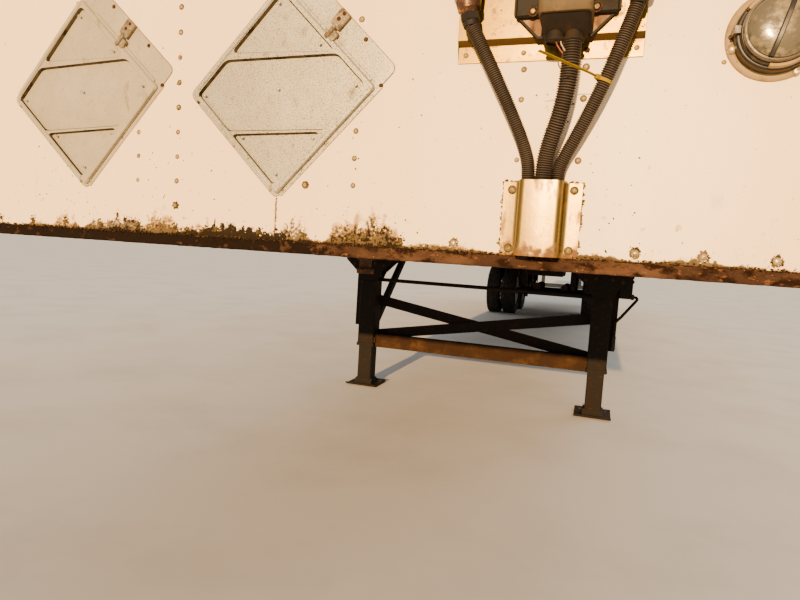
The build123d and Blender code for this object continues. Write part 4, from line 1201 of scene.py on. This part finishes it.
class TRAILER_OT_socket(bpy.types.Operator):
    """The electrical socket on its octagonal plate: housing, lid, ports and the plate's rubber edge"""
    bl_idname = "trailer.socket"
    bl_label = "Electrical socket"

    def execute(self, context):
        shape, middle = Shape(), 0.8295
        # Sections of both: height, half width and distance in front of the wall
        housing = ((1.5625, 0.03, 0.056), (1.564, 0.0335, 0.06), (1.569, 0.035, 0.066),
                   (1.578, 0.0372, 0.076), (1.5872, 0.0382, 0.0845))
        lid = ((1.5868, 0.0385, 0.085), (1.5868, 0.0402, 0.0895), (1.5885, 0.0408, 0.0908),
               (1.6, 0.041, 0.092), (1.638, 0.041, 0.092), (1.665, 0.0405, 0.0885),
               (1.682, 0.039, 0.079), (1.693, 0.037, 0.062), (1.699, 0.034, 0.04),
               (1.7, 0.03, 0.03))
        for kind, rows in ((1, housing), (0, lid)):
            rings = []
            for z, half, front in rows:
                corner = min(0.011, 0.4 * (front - 0.02))
                outline = [(middle + a, NOSE - b) for a, b in rectangle(-half, half, 0.0195, front, corner)]
                rings.append([(x, y, z) for x, y in outline])
            shape.loft(rings, kind)
        for x in (0.8145, 0.8425):
            shape.lathe(mm((0, 12), (15, 12), (15, 0), (17.2, -1), (17.4, -5), (16, -6.5), (13.5, -6.8),
                           (12.5, -3), (0, -3)), placed(out(x, 0.05, 1.559)), 1, 28)
        shape.block((0.7455, 0.9075), (NOSE - 0.03, NOSE - 0.0195), (1.604, 1.699), 0.003, 2)
        shape.lathe(mm((0, -50), (4, -50), (4, 50), (0, 50)), placed(out(middle, 0.034, 1.701), (1, 0, 0)),
                    2, 14)
        shape.piece("socket_housing", ["dusty_lid", "dusty_polycarbonate", "black_polyamide"],
                    slot="black_plastic", replaces=["electrical_socket"])

        low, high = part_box("socket_plate")
        reach, cut = (high.x - low.x) / 2, 0.04
        mid = (low + high) / 2
        corners = []
        for a, b in ((1, -1), (1, 1), (-1, 1), (-1, -1)):
            ends = [(a * reach, b * (reach - cut)), (a * (reach - cut), b * reach)]
            corners += ends if a * b > 0 else ends[::-1]
        edge = Shape()
        edge.sweep([(mid.x + a, mid.y - 0.0005, mid.z + b) for a, b in corners],
                   rectangle(-0.0022, 0.0022, -0.0045, 0.0045, 0.001), up=(0, 1, 0), closed=True)
        edge.piece("socket_plate_edge", ["flap_rubber"], slot="black_plastic")

        nuts = Shape()
        for x, z in ((0.774, 1.6115), (0.8735, 1.612), (0.774, 1.688), (0.8735, 1.688)):
            where = placed(out(x, 0.03, z), FRONT)
            nuts.lathe(mm((5.2, 0), (9, 0), (8.6, 2.2), (6, 2.4), (5.2, 1)), where, 0, 20, True)
            nuts.lathe(mm((0, 0), (4.2, 0), (4.2, 3.8), (3, 5.2), (0, 5.4)), where, 1, 14)
        nuts.piece("socket_bolts", ["rusted_screw", "weathered_rivet"], slot="forged_steel")
        rivets = [(out(x, 0.0025, z), FRONT) for x in (0.66, 0.76, 0.939) for z in (1.556, 1.888)]
        heads("hose_plate_rivets", dome_tree, rivets, "weathered_rivet", 0.0047, 0.0026, sides=14)
        rivets = [(out(0.863, 0.0025, z), FRONT) for z in (1.556, 1.888)]
        heads("hose_plate_rivets_rusty", dome_tree, rivets, "rusted_screw", 0.0052, 0.003, sides=14)
        return {"FINISHED"}


class TRAILER_OT_gladhands(bpy.types.Operator):
    """The two cast air couplings with their seals, catch plates and hexagon fittings"""
    bl_idname = "trailer.gladhands"
    bl_label = "Gladhands"

    def execute(self, context):
        shape = Shape()
        for row, side in ((LOOMS[0], -1), (LOOMS[2], 1)):
            x, y, z = row.points[0]
            start, back = out(x, -y, z), Vector((-0.2 if side < 0 else 0.12, 0, 0.98)).normalized()
            where = placed(start, back, FRONT)
            shape.lathe(mm((0, -6), (12.8, -6), (13.5, -4), (13.5, 4), (0, 4)), where, 1, 24)
            shape.slab(polygon(0.0165, 6), 0.002, 0.016, edge=0.0015, kind=1, where=where)
            shape.lathe(mm((0, 15), (13, 15), (14, 18), (19, 22), (20.5, 32), (19.5, 44), (15, 52), (0, 56)),
                        where, 0, 28)
            x, z = start.x + back.x * 0.024, start.z + 0.014
            rings = []
            for level, half, deep in ((0.016, 0.014, 0.013), (0.024, 0.0175, 0.016), (0.04, 0.0185, 0.017),
                                      (0.06, 0.0185, 0.016), (0.074, 0.016, 0.014)):
                rings.append([(x + a, start.y + b, z + level)
                              for a, b in rectangle(-half, half, -deep, deep, 0.009)])
            shape.loft(rings, 0)
            disc = placed((x, start.y - 0.005, z + 0.072), FRONT)
            shape.lathe(mm((0, -17), (27, -17), (31.5, -12), (32, 6), (30, 10.5), (26.5, 12), (25.5, 16.5),
                           (21.5, 17), (20.5, 11), (0, 11)), disc, 0, 40)
            shape.lathe(mm((8.5, 10), (20, 10), (20, 15), (18, 17.5), (11, 17.5), (9, 14)), disc, 2, 36, True)
            plate = [(side * a, b)
                     for a, b in ((0.006, -0.03), (0.036, -0.024), (0.041, -0.01), (0.04, 0.014),
                                  (0.03, 0.026), (0.01, 0.031))]
            turn = Matrix(((1, 0, 0), (0, 0, 1), (0, 1, 0))).transposed().to_4x4() @ Matrix.Scale(-1, 4, UP)
            shape.slab(soft(plate, 0.006), 0.0015, 0.0065, edge=0.001, kind=0,
                       where=Matrix.Translation((x, start.y - 0.005, z + 0.072)) @ turn)
            shape.block((x - 0.016, x + 0.016), (start.y + 0.01, NOSE - 0.014), (z + 0.043, z + 0.083), 0.004,
                        0)
            for dx, dz in ((-0.0125, 0.047), (0.0125, 0.079)):
                shape.slab(polygon(0.0055, 6), 0.0, 0.004, edge=0.0006, kind=1,
                           where=placed((x + dx * 1.6, NOSE - 0.0141, z + dz), FRONT))
        shape.piece("gladhands_cast", ["brown_casting", "black_polyamide", "flap_rubber"], slot="cast_metal",
                    replaces=["gladhands"])
        return {"FINISHED"}


class TRAILER_OT_loom_cover(bpy.types.Operator):
    """The bent sheet cover over the looms' ends, its screws and the crusted sealant round it"""
    bl_idname = "trailer.loom_cover"
    bl_label = "Loom cover"

    def execute(self, context):
        low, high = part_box("loom_cover")
        middle, half, side, front = (low.x + high.x) / 2, (high.x - low.x) / 2, 0.0355, 0.041
        bends = [(-half, 0.001), (-side, 0.001), (-side, front), (side, front), (side, 0.001), (half, 0.001)]
        path = [Vector(p) for p in [bends[0]] + soft(bends, 0.01, 6)[7:-7] + [bends[-1]]]
        edges = ([], [])
        for i, here in enumerate(path):
            along = (path[min(i + 1, len(path) - 1)] - path[max(i - 1, 0)]).normalized()
            step = Vector((-along.y, along.x)) * 0.001
            edges[0].append(here + step)
            edges[1].append(here - step)
        cover_shape = Shape()
        cover_shape.loft([[(middle + p.x, NOSE - p.y, z) for p in edges[0] + edges[1][::-1]]
                          for z in (low.z, high.z)])
        cover_shape.piece("loom_cover_bent", ["cover_sheet"], slot="galvanised_steel",
                          replaces=["loom_cover"])
        spots = ((0.759, 1.326), (0.862, 1.327), (0.759, 1.225), (0.861, 1.226))
        for name, finish, radius, height in (("screws", "weathered_rivet", 0.0054, 0.0036),
                                             ("washers", "rivet_dirt", 0.0078, 0.0011)):
            heads("loom_cover_" + name, dome_tree, [(out(x, 0.002, z), FRONT) for x, z in spots], finish,
                  radius, height, sides=18)
        lumps, state = [], np.random.default_rng(3)
        for n in range(150):
            side = n % 3
            if side == 2:
                x, z = state.uniform(low.x, high.x), high.z + state.normal(0.001, 0.001)
            else:
                x = (low.x, high.x)[side] + state.normal(0, 0.0012)
                z = low.z + (high.z - low.z) * state.uniform(0, 1)
            lumps.append(((x, NOSE - 0.0005, z), FRONT))
        heads("loom_cover_sealant", crumb_tree, lumps, "old_sealant", 0.003, 0.0016, slot="grey_plastic",
              wobble=0.5)
        return {"FINISHED"}


class TRAILER_OT_document_holder(bpy.types.Operator):
    """The round document holder with its clouded cap, grip bar, lug and screws"""
    bl_idname = "trailer.document_holder"
    bl_label = "Document holder"

    def execute(self, context):
        shape, axis = Shape(), placed((1.132, NOSE, 1.565), FRONT, (1, 0, 0))
        tan_, dark, grey, dome, bright = range(5)
        shape.lathe(mm((0, 0), (67.7, 0), (68.2, 1.2), (68, 3.5), (66, 4.6), (60, 4.8), (59, 5.6), (0, 5.6)),
                    axis, tan_, 72)
        shape.lathe(mm((0, 5), (58.2, 5), (57.5, 20), (56, 21.8), (54.5, 22.5), (0, 22.5)),
                    axis, dark, 72)
        shape.lathe(mm((0, 22), (52.5, 22), (52, 30), (50.5, 31.2), (0, 31.2)), axis, dark, 72)
        shape.lathe(mm((0, 30), (49.2, 30), (49.8, 32.5), (49.6, 39), (48.4, 40.8), (46.2, 41.2), (45.2, 40),
                       (0, 40)), axis, grey, 72)
        shape.lathe(mm((0, 39), (45, 39), (44.8, 42), (42, 45), (34, 48.2), (18, 50), (0, 50.5)), axis, dome,
                    64)
        for first, last, inner, outer, foot, top, kind in (
                (214, 281, 0.05, 0.0552, 0.0215, 0.033, tan_), (34, 101, 0.05, 0.0552, 0.0215, 0.033, tan_),
                (176, 187, 0.048, 0.0612, 0.005, 0.03, grey), (356, 367, 0.048, 0.0612, 0.005, 0.03, grey)):
            rings = []
            for a in np.radians(np.linspace(first, last, 16)):
                section = rectangle(inner, outer, foot, top, 0.0012)
                rings.append([(r * cos(a), -r * sin(a), h) for r, h in section])
            shape.loft(rings, kind, axis)
        bar = axis @ Matrix.Rotation(radians(75), 4, "Z")
        rings = []
        for a in np.linspace(-0.0455, 0.0455, 15):
            crown = 0.0555 - 0.0085 * abs(a / 0.0455) ** 2.5
            rings.append([(a, b, h) for b, h in ((-0.004, 0.0395), (-0.0034, crown - 0.001), (-0.0022, crown),
                                                 (0.0022, crown), (0.0034, crown - 0.001), (0.004, 0.0395))])
        shape.loft(rings, dark, bar)
        shape.lathe(mm((2.2, 4), (4.6, 4), (4.4, 5.6), (3.4, 6), (2.4, 5.4)),
                    placed(out(1.0725, 0, 1.5637), FRONT), dark, 16, True)
        shape.lathe(mm((0, 3), (8, 3), (7.8, 5.8), (6.2, 8.6), (3.5, 9.9), (0, 10.2)),
                    placed(out(1.0751, 0, 1.5457), FRONT), bright, 24)
        for turn in (60, 300):
            spot = (1.132 + 0.0635 * cos(radians(turn)), 0, 1.565 + 0.0635 * sin(radians(turn)))
            shape.lathe(mm((0, 3), (6, 3), (5.8, 5.8), (3.5, 7.8), (0, 8)),
                        placed(out(*spot), FRONT), bright, 20)
        shape.piece("document_holder_moulded",
                    ["tan_abs", "grey_abs", "clouded_abs", "crazed_acrylic", "plated_bolt"],
                    slot="grey_plastic", replaces=["document_holder", "document_cap"])
        heads("document_rivet", dome_tree, [((1.0666, NOSE, 1.5287), FRONT)], "weathered_rivet", 0.004,
              0.0016)
        return {"FINISHED"}


# Landing gear

class TRAILER_OT_landing_gear(bpy.types.Operator):
    """Collars, bolts, welds and the crank's grip on the landing legs"""
    bl_idname = "trailer.landing_gear"
    bl_label = "Landing gear"

    def execute(self, context):
        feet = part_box("landing_feet")
        y, half = (feet[0].y + feet[1].y) / 2, 0.075
        shape, bolts = Shape(), []
        for side in (-1, 1):
            x = side * 0.975
            for z0, z1, grow in ((0.352, 0.374, 0.007), (0.374, 0.38, 0.004)):
                outer = rectangle(-half - grow, half + grow, -half - grow, half + grow, 0.015)
                inner = rectangle(-half + 0.008, half - 0.008, -half + 0.008, half - 0.008, 0.008)
                loops = ((inner, z0), (outer, z0), (outer, z1), (inner, z1))
                shape.loft([[(x + a, y + b, z) for a, b in loop] for loop, z in loops], closed=True)
            for face, way in ((y - half - 0.008, FRONT), (y + half + 0.008, BACK)):
                bolts += [((x + dx, face, z), way)
                          for away, z in ((0.19, 1.125), (0.06, 1.09), (0.135, 1.075))
                          for dx in (-away, away)]
                bead = [(x + half * t, face, 0.93 + 0.0012 * noise.noise(Vector((t * 20, side, face))))
                        for t in np.linspace(-1, 1, 24)]
                shape.sweep(bead, polygon(0.004, 8), 0, up=(0, 1, 0))
            bolts += [((x + dx, y + dy, 0.0125), UP) for dy in (-0.11, 0.11) for dx in (-0.1, 0.1)]
            bolts += [((x + 0.211, y + a, z), (1, 0, 0)) for a in (-0.048, 0.048)
                      for z in (0.966, 1.082)] if side > 0 else []
            for z in (0.395, 0.42):
                bolts.append(((x - side * 0.0755, y - 0.045, z), (-side, 0, 0)))
        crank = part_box("crank_handle")[0]
        shape.lathe(mm((0, -50), (15, -50), (16.5, -46), (15, -30), (15, 30), (16.5, 46), (15, 50), (0, 50)),
                    placed((crank.x + 0.011, crank.y + 0.011, crank.z + 0.057)), 1, 20)
        shape.piece("landing_gear_collars", ["chassis_black", "flap_rubber"], slot="black_paint")
        heads("landing_gear_bolts", hex_tree, bolts, "rusted_screw", 0.011, 0.009)
        return {"FINISHED"}


# Sides, roof and rear

def film_runs(start, last, end):
    """The red and white lengths of reflecting film from start on, none begun after last."""
    near, kind = start, 0
    while near < last:
        far = near + min(FILM_LENGTHS[kind], end - near)
        yield near, far, kind
        near, kind = far, 1 - kind


class TRAILER_OT_sides(bpy.types.Operator):
    """Panel laps and rivets of the side walls, rail rivets and the reflecting film"""
    bl_idname = "trailer.sides"
    bl_label = "Side walls"

    def execute(self, context):
        s = context.scene.trailer_sizes
        low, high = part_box("side_wall_left")
        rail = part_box("bottom_rails")
        laps, film = Shape(), Shape()
        for side, name in ((-1, "right"), (1, "left")):
            rivets, x, face = [], side * WALL, side * rail[1].x
            for n in range(int((high.y - low.y) // BOW_PITCH) + 1):
                y = low.y + 0.045 + n * BOW_PITCH
                if n % 2 == 0:
                    for lift, near, far, kind in ((0.0009, y - 0.019, y + 0.019, 0),
                                                  (0.0005, y + 0.0185, y + 0.022, 1)):
                        laps.block(sorted((x - side * 0.0005, x + side * lift)), (near, far),
                                   (rail[1].z + 0.0015, high.z - 0.0015), 0.0004, kind)
                for m in range(35):
                    for dy in ((-0.01, 0.01) if n % 2 == 0 else (0,)):
                        if m % 2 == 0 or n % 2 == 0:
                            rivets.append(((x + side * (0.0009 if n % 2 == 0 else 0), y + dy,
                                            low.z + 0.075 + m * 0.0762),
                                           (side, 0, 0)))
            heads("side_rivets_" + name, dome_tree, rivets, "mill_aluminium", 0.005, 0.0022,
                  slot="white_paint", sides=6)
            rows = []
            for n in range(int((rail[1].y - rail[0].y - 0.04) // BOLT_PITCH)):
                y = rail[0].y + 0.03 + n * BOLT_PITCH
                rows += [((face, y, rail[1].z - 0.02), (side, 0, 0)),
                         ((side * (HALF - 0.005), y, 4.024), (side, 0, 0))]
            heads("rail_rivets_" + name, dome_tree, rows, "weathered_rivet", 0.006, 0.0026, sides=8)
            for near, far, kind in film_runs(rail[0].y + 0.06, rail[1].y - 0.3, rail[1].y):
                film.block(sorted((face - side * 0.0004, face + side * 0.0006)),
                           (near + 0.0006, far - 0.0006), (1.268 - s.film_width, 1.268), 0.0002, kind)
        laps.piece("side_laps", ["side_enamel", "old_sealant"], slot="white_paint")
        film.piece("rail_film", ["red_film", "white_film"], slot="white_paint")
        return {"FINISHED"}


class TRAILER_OT_roof(bpy.types.Operator):
    """Roof bows under the roof sheet and the rivets along its edges"""
    bl_idname = "trailer.roof"
    bl_label = "Roof"

    def execute(self, context):
        s = context.scene.trailer_sizes
        low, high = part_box("roof")
        bows, y = Shape(), low.y + 0.3
        while y < high.y - 0.1:
            hat = mm((-34, 0), (-20, 0), (-14, -26), (14, -26), (20, 0), (34, 0), (34, 2), (-34, 2))
            bows.loft([[(x, y + a, low.z - 0.001 + b) for a, b in hat]
                       for x in (low.x + 0.001, high.x - 0.001)])
            y += s.bow_pitch
        bows.piece("roof_bows", ["galvanised_steel"], slot="galvanised_steel")
        rows = [((side * (HALF - 0.028), low.y + 0.03 + n * BOLT_PITCH, high.z), UP) for side in (-1, 1)
                for n in range(int((high.y - low.y - 0.05) // BOLT_PITCH))]
        heads("roof_rivets", dome_tree, rows, "weathered_rivet", 0.0055, 0.002, sides=8)
        return {"FINISHED"}


class TRAILER_OT_rear(bpy.types.Operator):
    """Seals, film, bolts and hinge heads of the rear doors, and the film on their frame"""
    bl_idname = "trailer.rear"
    bl_label = "Rear doors"

    def execute(self, context):
        s = context.scene.trailer_sizes
        depth = REAR - 0.0003, REAR + 0.0005
        for side, name in ((1, "left"), (-1, "right")):
            low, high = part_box("door_" + name)
            body = "rear_door_" + name
            seal, bolts = Shape(), []
            path = [(low.x, high.z), (high.x, high.z), (high.x, low.z), (low.x, low.z)]
            for inset, lift in ((0.012, 0.003), (0.024, 0.0022)):
                ring = offset(path, inset)
                points = []
                for (a, b), (c, d) in zip(ring, ring[1:] + ring[:1]):
                    points += [(a + (c - a) * t, REAR + 0.0002, b + (d - b) * t) for t in (0.004, 0.5, 0.996)]
                seal.sweep(points, rectangle(-0.0045, 0.0045, -lift, lift, 0.0015), up=(0, 1, 0), closed=True)
            seal.piece("door_seals_" + name, ["flap_rubber"], body, slot="flap_rubber")
            for z in HINGE_LEVELS:
                bolts += [((side * HINGE_X - side * d, REAR + 0.009, z + dz), BACK) for d, dz in
                          ((0.1, 0), (0.15, 0.01), (0.15, -0.01), (0.21, 0), (0.26, 0))]
            for x in (0.95, 0.15):
                for n in range(4):
                    z = 1.484 + n * 0.78133
                    bolts += [((side * x + dx, REAR + 0.028, z + dz), BACK) for dx in (-0.024, 0.024)
                              for dz in (-0.015, 0.015)]
            heads("door_bolts_" + name, hex_tree, bolts, "galvanised_steel", 0.0075, 0.0045, body)
            film = Shape()
            for near, far, kind in film_runs(0.03, 1.16, 1.18):
                film.block(sorted((side * (near + 0.0006), side * (far - 0.0006))), depth,
                           (1.385, 1.385 + s.film_width), 0.0002, kind)
            film.piece("door_film_" + name, ["red_film", "white_film"], body, slot="white_paint")
        fixed = Shape()
        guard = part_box("underride_guard")
        for near, far, kind in film_runs(guard[0].x + 0.02, guard[1].x - 0.1, guard[1].x - 0.02):
            fixed.block((near, far - 0.0012), (guard[1].y - 0.0003, guard[1].y + 0.0005),
                        (0.505 - s.film_width / 2, 0.505 + s.film_width / 2), 0.0002, kind)
        for side in (-1, 1):
            edge = side * (HALF - 0.012)
            fixed.block(sorted((edge, edge - side * 0.05)), depth, (3.8, 3.985), 0.0002, 1)
        fixed.piece("frame_film", ["red_film", "white_film"], slot="white_paint")
        pins = Shape()
        for side in (-1, 1):
            for z in HINGE_LEVELS:
                for dz in (0.045, -0.045):
                    where = placed((side * HINGE_X, 8.136, z + dz), (0, 0, 1 if dz > 0 else -1))
                    pins.lathe(mm((0, -4), (8.5, -4), (8.5, 1), (7, 3.5), (0, 4.2)), where, 0, 16)
        pins.piece("hinge_pins", ["galvanised_steel"], slot="forged_steel")
        return {"FINISHED"}


# Wheels

class TRAILER_OT_wheels(bpy.types.Operator):
    """Twin tyres with their tread, wheel nuts, hub caps and valves for each wheel end"""
    bl_idname = "trailer.wheels"
    bl_label = "Wheels"

    def execute(self, context):
        depth = context.scene.trailer_sizes.groove_depth
        wall = mm((286.2, 98), (301, 106), (303, 118), (314, 129), (320, 133), (323, 131.2), (327, 134),
                  (357.6, 140), (407, 140), (430, 138.5), (433, 136.2), (437, 137.5), (463, 132),
                  (480, 126.5))
        tread = mm((496, 118), (504, 112), (506.5, 98.5))
        for middle in (0.078, 0.027):
            level = 0.5073 if middle > 0.05 else 0.5092
            tread += [(level, middle + 0.0075), (level - depth, middle + 0.0048),
                      (level - depth, middle - 0.0048), (level + 0.0008, middle - 0.0075)]
        half = wall + tread
        outline = half + [(r, -w) for r, w in reversed(half)]
        outline += [(0.292, -0.09), (0.33, -0.108), (0.4, -0.126), (0.48, -0.108), (0.48, 0.108),
                    (0.4, 0.126), (0.33, 0.108), (0.292, 0.09)]
        steps = 144
        for axle, y in AXLES:
            for side, name in ((1, "left"), (-1, "right")):
                end, tyres = axle + "_" + name, Shape()
                body = "wheel_" + end
                for x in (0.819, 1.149):
                    rings = []
                    for i in range(steps):
                        turn, notch = 2 * pi * i / steps, i % 4 == 0
                        ring = []
                        for r, w in outline:
                            if r > 0.49 and abs(w) > 0.087 and notch:
                                r -= depth * 0.8
                            ring.append((side * x + w, y + r * cos(turn), WHEEL_Z + r * sin(turn)))
                        rings.append(ring)
                    tyres.loft(rings, closed=True)
                tyres.piece("tread_tyres_" + end, ["tyre_rubber"], body, "tyre_rubber", ["tyres_" + end],
                            smooth=40)
                face, outward = side * 0.984, (side, 0, 0)
                nuts = [((face + side * 0.012, y + 0.142 * cos(turn), WHEEL_Z + 0.142 * sin(turn)), outward)
                        for turn in (radians(36 * n) for n in range(10))]
                heads("wheel_nuts_" + end, hex_tree, nuts, "rusty_iron", 0.0165, 0.02, body)
                cap, centre = Shape(), placed((face, y, WHEEL_Z), outward, UP)
                cap.lathe(mm((66, 120), (78, 129), (78, 134), (70, 136), (69, 160), (66, 174), (58, 176),
                             (40, 174.5), (38, 170), (0, 170), (0, 120)),
                          centre, 0, 40)
                cap.lathe(mm((0, 169), (36, 169), (35, 173.5), (0, 174.5)), centre, 1, 32)
                for n in range(6):
                    spin = centre @ Matrix.Rotation(radians(60 * n), 4, "Z")
                    spot = spin @ Matrix.Translation((0.0735, 0, 0.134))
                    cap.slab(polygon(0.0062, 6), 0, 0.006, edge=0.0008, kind=2, where=spot)
                for turn, rise in ((108, 0.06), (288, -0.02)):
                    spin = centre @ Matrix.Rotation(radians(turn), 4, "Z")
                    stem = [spin @ Vector(p)
                            for p in ((0.236, 0, rise - 0.05), (0.226, 0, rise), (0.205, 0, rise + 0.03),
                                      (0.185, 0, rise + 0.05))]
                    cap.sweep(route(stem), polygon(0.0038, 8), 3, up=(side, 0.01, 0))
                cap.piece("hub_cap_" + end,
                          ["mill_aluminium", "crazed_acrylic", "rusted_screw", "weathered_rivet"], body,
                          "hub_iron")
        return {"FINISHED"}


class TRAILER_OT_tandem(bpy.types.Operator):
    """Clips and U-bolts of the springs, and the slots and pins of the sliding frame"""
    bl_idname = "trailer.tandem"
    bl_label = "Tandem"

    def execute(self, context):
        shape, nuts = Shape(), []
        for _, y in AXLES:
            for side in (-1, 1):
                x = side * SPRING_X
                for dy in (-0.062, 0.062):
                    bow = [(x - 0.046, y + dy, 0.565), (x - 0.046, y + dy, 0.672), (x - 0.036, y + dy, 0.684),
                           (x + 0.036, y + dy, 0.684), (x + 0.046, y + dy, 0.672), (x + 0.046, y + dy, 0.565)]
                    shape.sweep(bow, polygon(0.0095, 10), 0, up=(0, 1, 0))
                    nuts += [((x - 0.046, y + dy, 0.564), (0, 0, -1)),
                             ((x + 0.046, y + dy, 0.564), (0, 0, -1))]
                shape.block((x - 0.058, x + 0.058), (y - 0.085, y + 0.085), (0.546, 0.56), 0.003, 0)
                for reach in (0.3, -0.3):
                    shape.block((x - 0.041, x + 0.041), (y + reach - 0.014, y + reach + 0.014),
                                (0.647, 0.691), 0.002, 1)
        # Rims of the holes every 6 in along the sliding frame, and the pins in it
        for side in (-1, 1):
            face = side * (SPRING_X + 0.038)
            for n in range(14):
                y = 3.3 + n * 0.1524
                shape.lathe(mm((12, -1), (24, -1), (23.6, 3), (12.5, 3)),
                            placed((face, y, RAIL_Z), (side, 0, 0)), 0, 18, True)
            for y in (3.62, 5.2):
                shape.lathe(mm((0, -10), (11.5, -10), (11.5, 20), (9, 24), (0, 25)),
                            placed((face, y, RAIL_Z), (side, 0, 0)), 1, 16)
        shape.piece("spring_clamps", ["chassis_black", "rusty_iron"], slot="black_paint")
        heads("spring_nuts", hex_tree, nuts, "rusted_screw", 0.0135, 0.012)
        return {"FINISHED"}


class TRAILER_OT_lamps(bpy.types.Operator):
    """Rubber grommets and domed lenses of the lamps"""
    bl_idname = "trailer.lamps"
    bl_label = "Lamps"

    def execute(self, context):
        rings, domes = Shape(), Shape()
        spots = [((x, NOSE - 0.018, HEIGHT - 0.055), FRONT, 0.032, 0)
                 for x in (-1.15, -0.155, 0, 0.155, 1.15)]
        spots += [((x, REAR + 0.012, HEIGHT - 0.055), BACK, 0.032, 1)
                  for x in (-1.21, -0.075, 0, 0.075, 1.21)]
        spots += [((x, REAR + 0.012, 1.248), BACK, 0.052, 1) for x in (-0.76, -0.62, 0.62, 0.76)]
        for side in (-1, 1):
            spots += [((side * HALF, y, 1.43), (side, 0, 0), 0.032, kind)
                      for y, kind in ((NOSE + 0.3, 0), (NOSE + 8.077, 0), (REAR - 0.26, 1))]
        for point, way, radius, kind in spots:
            back = {FRONT: -0.018, BACK: -0.012}.get(way, -0.0105)
            where = placed(point, way)
            lens = [(0, back * 0.5), (radius * 0.9, back * 0.5), (radius * 0.9, 0.0004),
                    (radius * 0.8, 0.0034), (radius * 0.55, 0.0058), (radius * 0.25, 0.0068), (0, 0.007)]
            lens = [(r, h if abs(way[0]) < 0.5 else h * 0.3) for r, h in lens]
            domes.lathe(lens, where, kind, 32)
            rings.lathe([(radius * 0.92, back), (radius * 1.18, back), (radius * 1.17, back * 0.4),
                         (radius * 1.04, 0.0006), (radius * 0.93, 0.0006)], where, 0, 32, True)
        rings.piece("lamp_grommets", ["flap_rubber"], slot="black_plastic")
        domes.piece("lamp_lenses", ["amber_acrylic", "red_acrylic"], slot="amber_lens")
        return {"FINISHED"}


# Studio

class TRAILER_OT_studio(bpy.types.Operator):
    """A pale floor, soft light with a low key light, and the camera of the photo"""
    bl_idname = "trailer.studio"
    bl_label = "Studio"

    def execute(self, context):
        tint = context.scene.trailer_colours
        ground = Shape()
        rings = [[(r * cos(2 * pi * i / 96), r * sin(2 * pi * i / 96), z) for i in range(96)]
                 for r, z in ((280, -0.02), (280, 0.0), (0, 0.0))]
        ground.loft(rings)
        floor = ground.piece("studio_floor", ["pale_floor"])
        for name, way, power, spread_deg, colour in (
                ("key_light", (0.0, 0.96, -0.19), tint.sun_power, 0.6, tint.sun),
                ("rear_light", (-0.5, -0.8, -0.5), 1.0, 40, (1.0, 0.95, 0.9))):
            light = bpy.data.lights.new(name, "SUN")
            light.energy, light.angle, light.color = power, radians(spread_deg), colour
            lamp = bpy.data.objects.new(name, light)
            lamp.rotation_euler = Vector(way).to_track_quat("-Z", "Y").to_euler()
            context.scene.collection.objects.link(lamp)
        world = bpy.data.worlds.new("studio")
        world.use_nodes = True
        sky = world.node_tree.nodes["Background"].inputs
        sky["Color"].default_value, sky["Strength"].default_value = (0.8, 0.83, 0.85, 1), tint.sky_power
        context.scene.world = world

        # The photo's camera, worked out from the rivets: its turn in radians, place and focal length
        yaw, pitch, roll = 0.3212, 0.0842, 0.0629
        eye, focal_length = (0.908, -8.058 - 1.0281, 1.2084), 26.147
        ahead = Vector((-sin(yaw) * cos(pitch), cos(yaw) * cos(pitch), -sin(pitch)))
        right = Vector((cos(yaw), sin(yaw), 0))
        over = right.cross(ahead)
        turned = right * cos(roll) + over * sin(roll)
        over = over * cos(roll) - right * sin(roll)
        lens = bpy.data.cameras.new("photo_camera")
        lens.sensor_width, lens.lens, lens.clip_start, lens.clip_end = 36, focal_length, 0.02, 400
        camera = bpy.data.objects.new("photo_camera", lens)
        turn = Matrix((turned, over, -ahead)).transposed().to_4x4()
        camera.matrix_world = Matrix.Translation(eye) @ turn
        context.scene.collection.objects.link(camera)
        context.scene.camera = camera
        return {"FINISHED"}


OPERATORS = (
    TRAILER_OT_nose_wall, TRAILER_OT_nose_rivets, TRAILER_OT_sill, TRAILER_OT_frame_finish,
    TRAILER_OT_placards, TRAILER_OT_looms, TRAILER_OT_socket, TRAILER_OT_gladhands, TRAILER_OT_loom_cover,
    TRAILER_OT_document_holder, TRAILER_OT_landing_gear, TRAILER_OT_sides, TRAILER_OT_roof, TRAILER_OT_rear,
    TRAILER_OT_wheels, TRAILER_OT_tandem, TRAILER_OT_lamps, TRAILER_OT_studio)


class TRAILER_PT_finish(bpy.types.Panel):
    """The steps that finish the trailer, and what they can be given"""
    bl_label = "Trailer"
    bl_idname = "TRAILER_PT_finish"
    bl_space_type = "VIEW_3D"
    bl_region_type = "UI"
    bl_category = "Trailer"

    def draw(self, context):
        for group in (context.scene.trailer_sizes, context.scene.trailer_colours):
            column = self.layout.column()
            for name in group.bl_rna.properties.keys():
                if name not in ("rna_type", "name"):
                    column.prop(group, name)
        for operator in OPERATORS:
            self.layout.operator(operator.bl_idname)


CLASSES = (TrailerSizes, TrailerColours, *OPERATORS, TRAILER_PT_finish)


def register():
    for kind in CLASSES:
        bpy.utils.register_class(kind)
    bpy.types.Scene.trailer_sizes = PointerProperty(type=TrailerSizes)
    bpy.types.Scene.trailer_colours = PointerProperty(type=TrailerColours)


def unregister():
    del bpy.types.Scene.trailer_colours
    del bpy.types.Scene.trailer_sizes
    for kind in reversed(CLASSES):
        bpy.utils.unregister_class(kind)


def main():
    register()
    for operator in OPERATORS:
        group, name = operator.bl_idname.split(".")
        getattr(getattr(bpy.ops, group), name)()


if __name__ == "__main__":
    main()
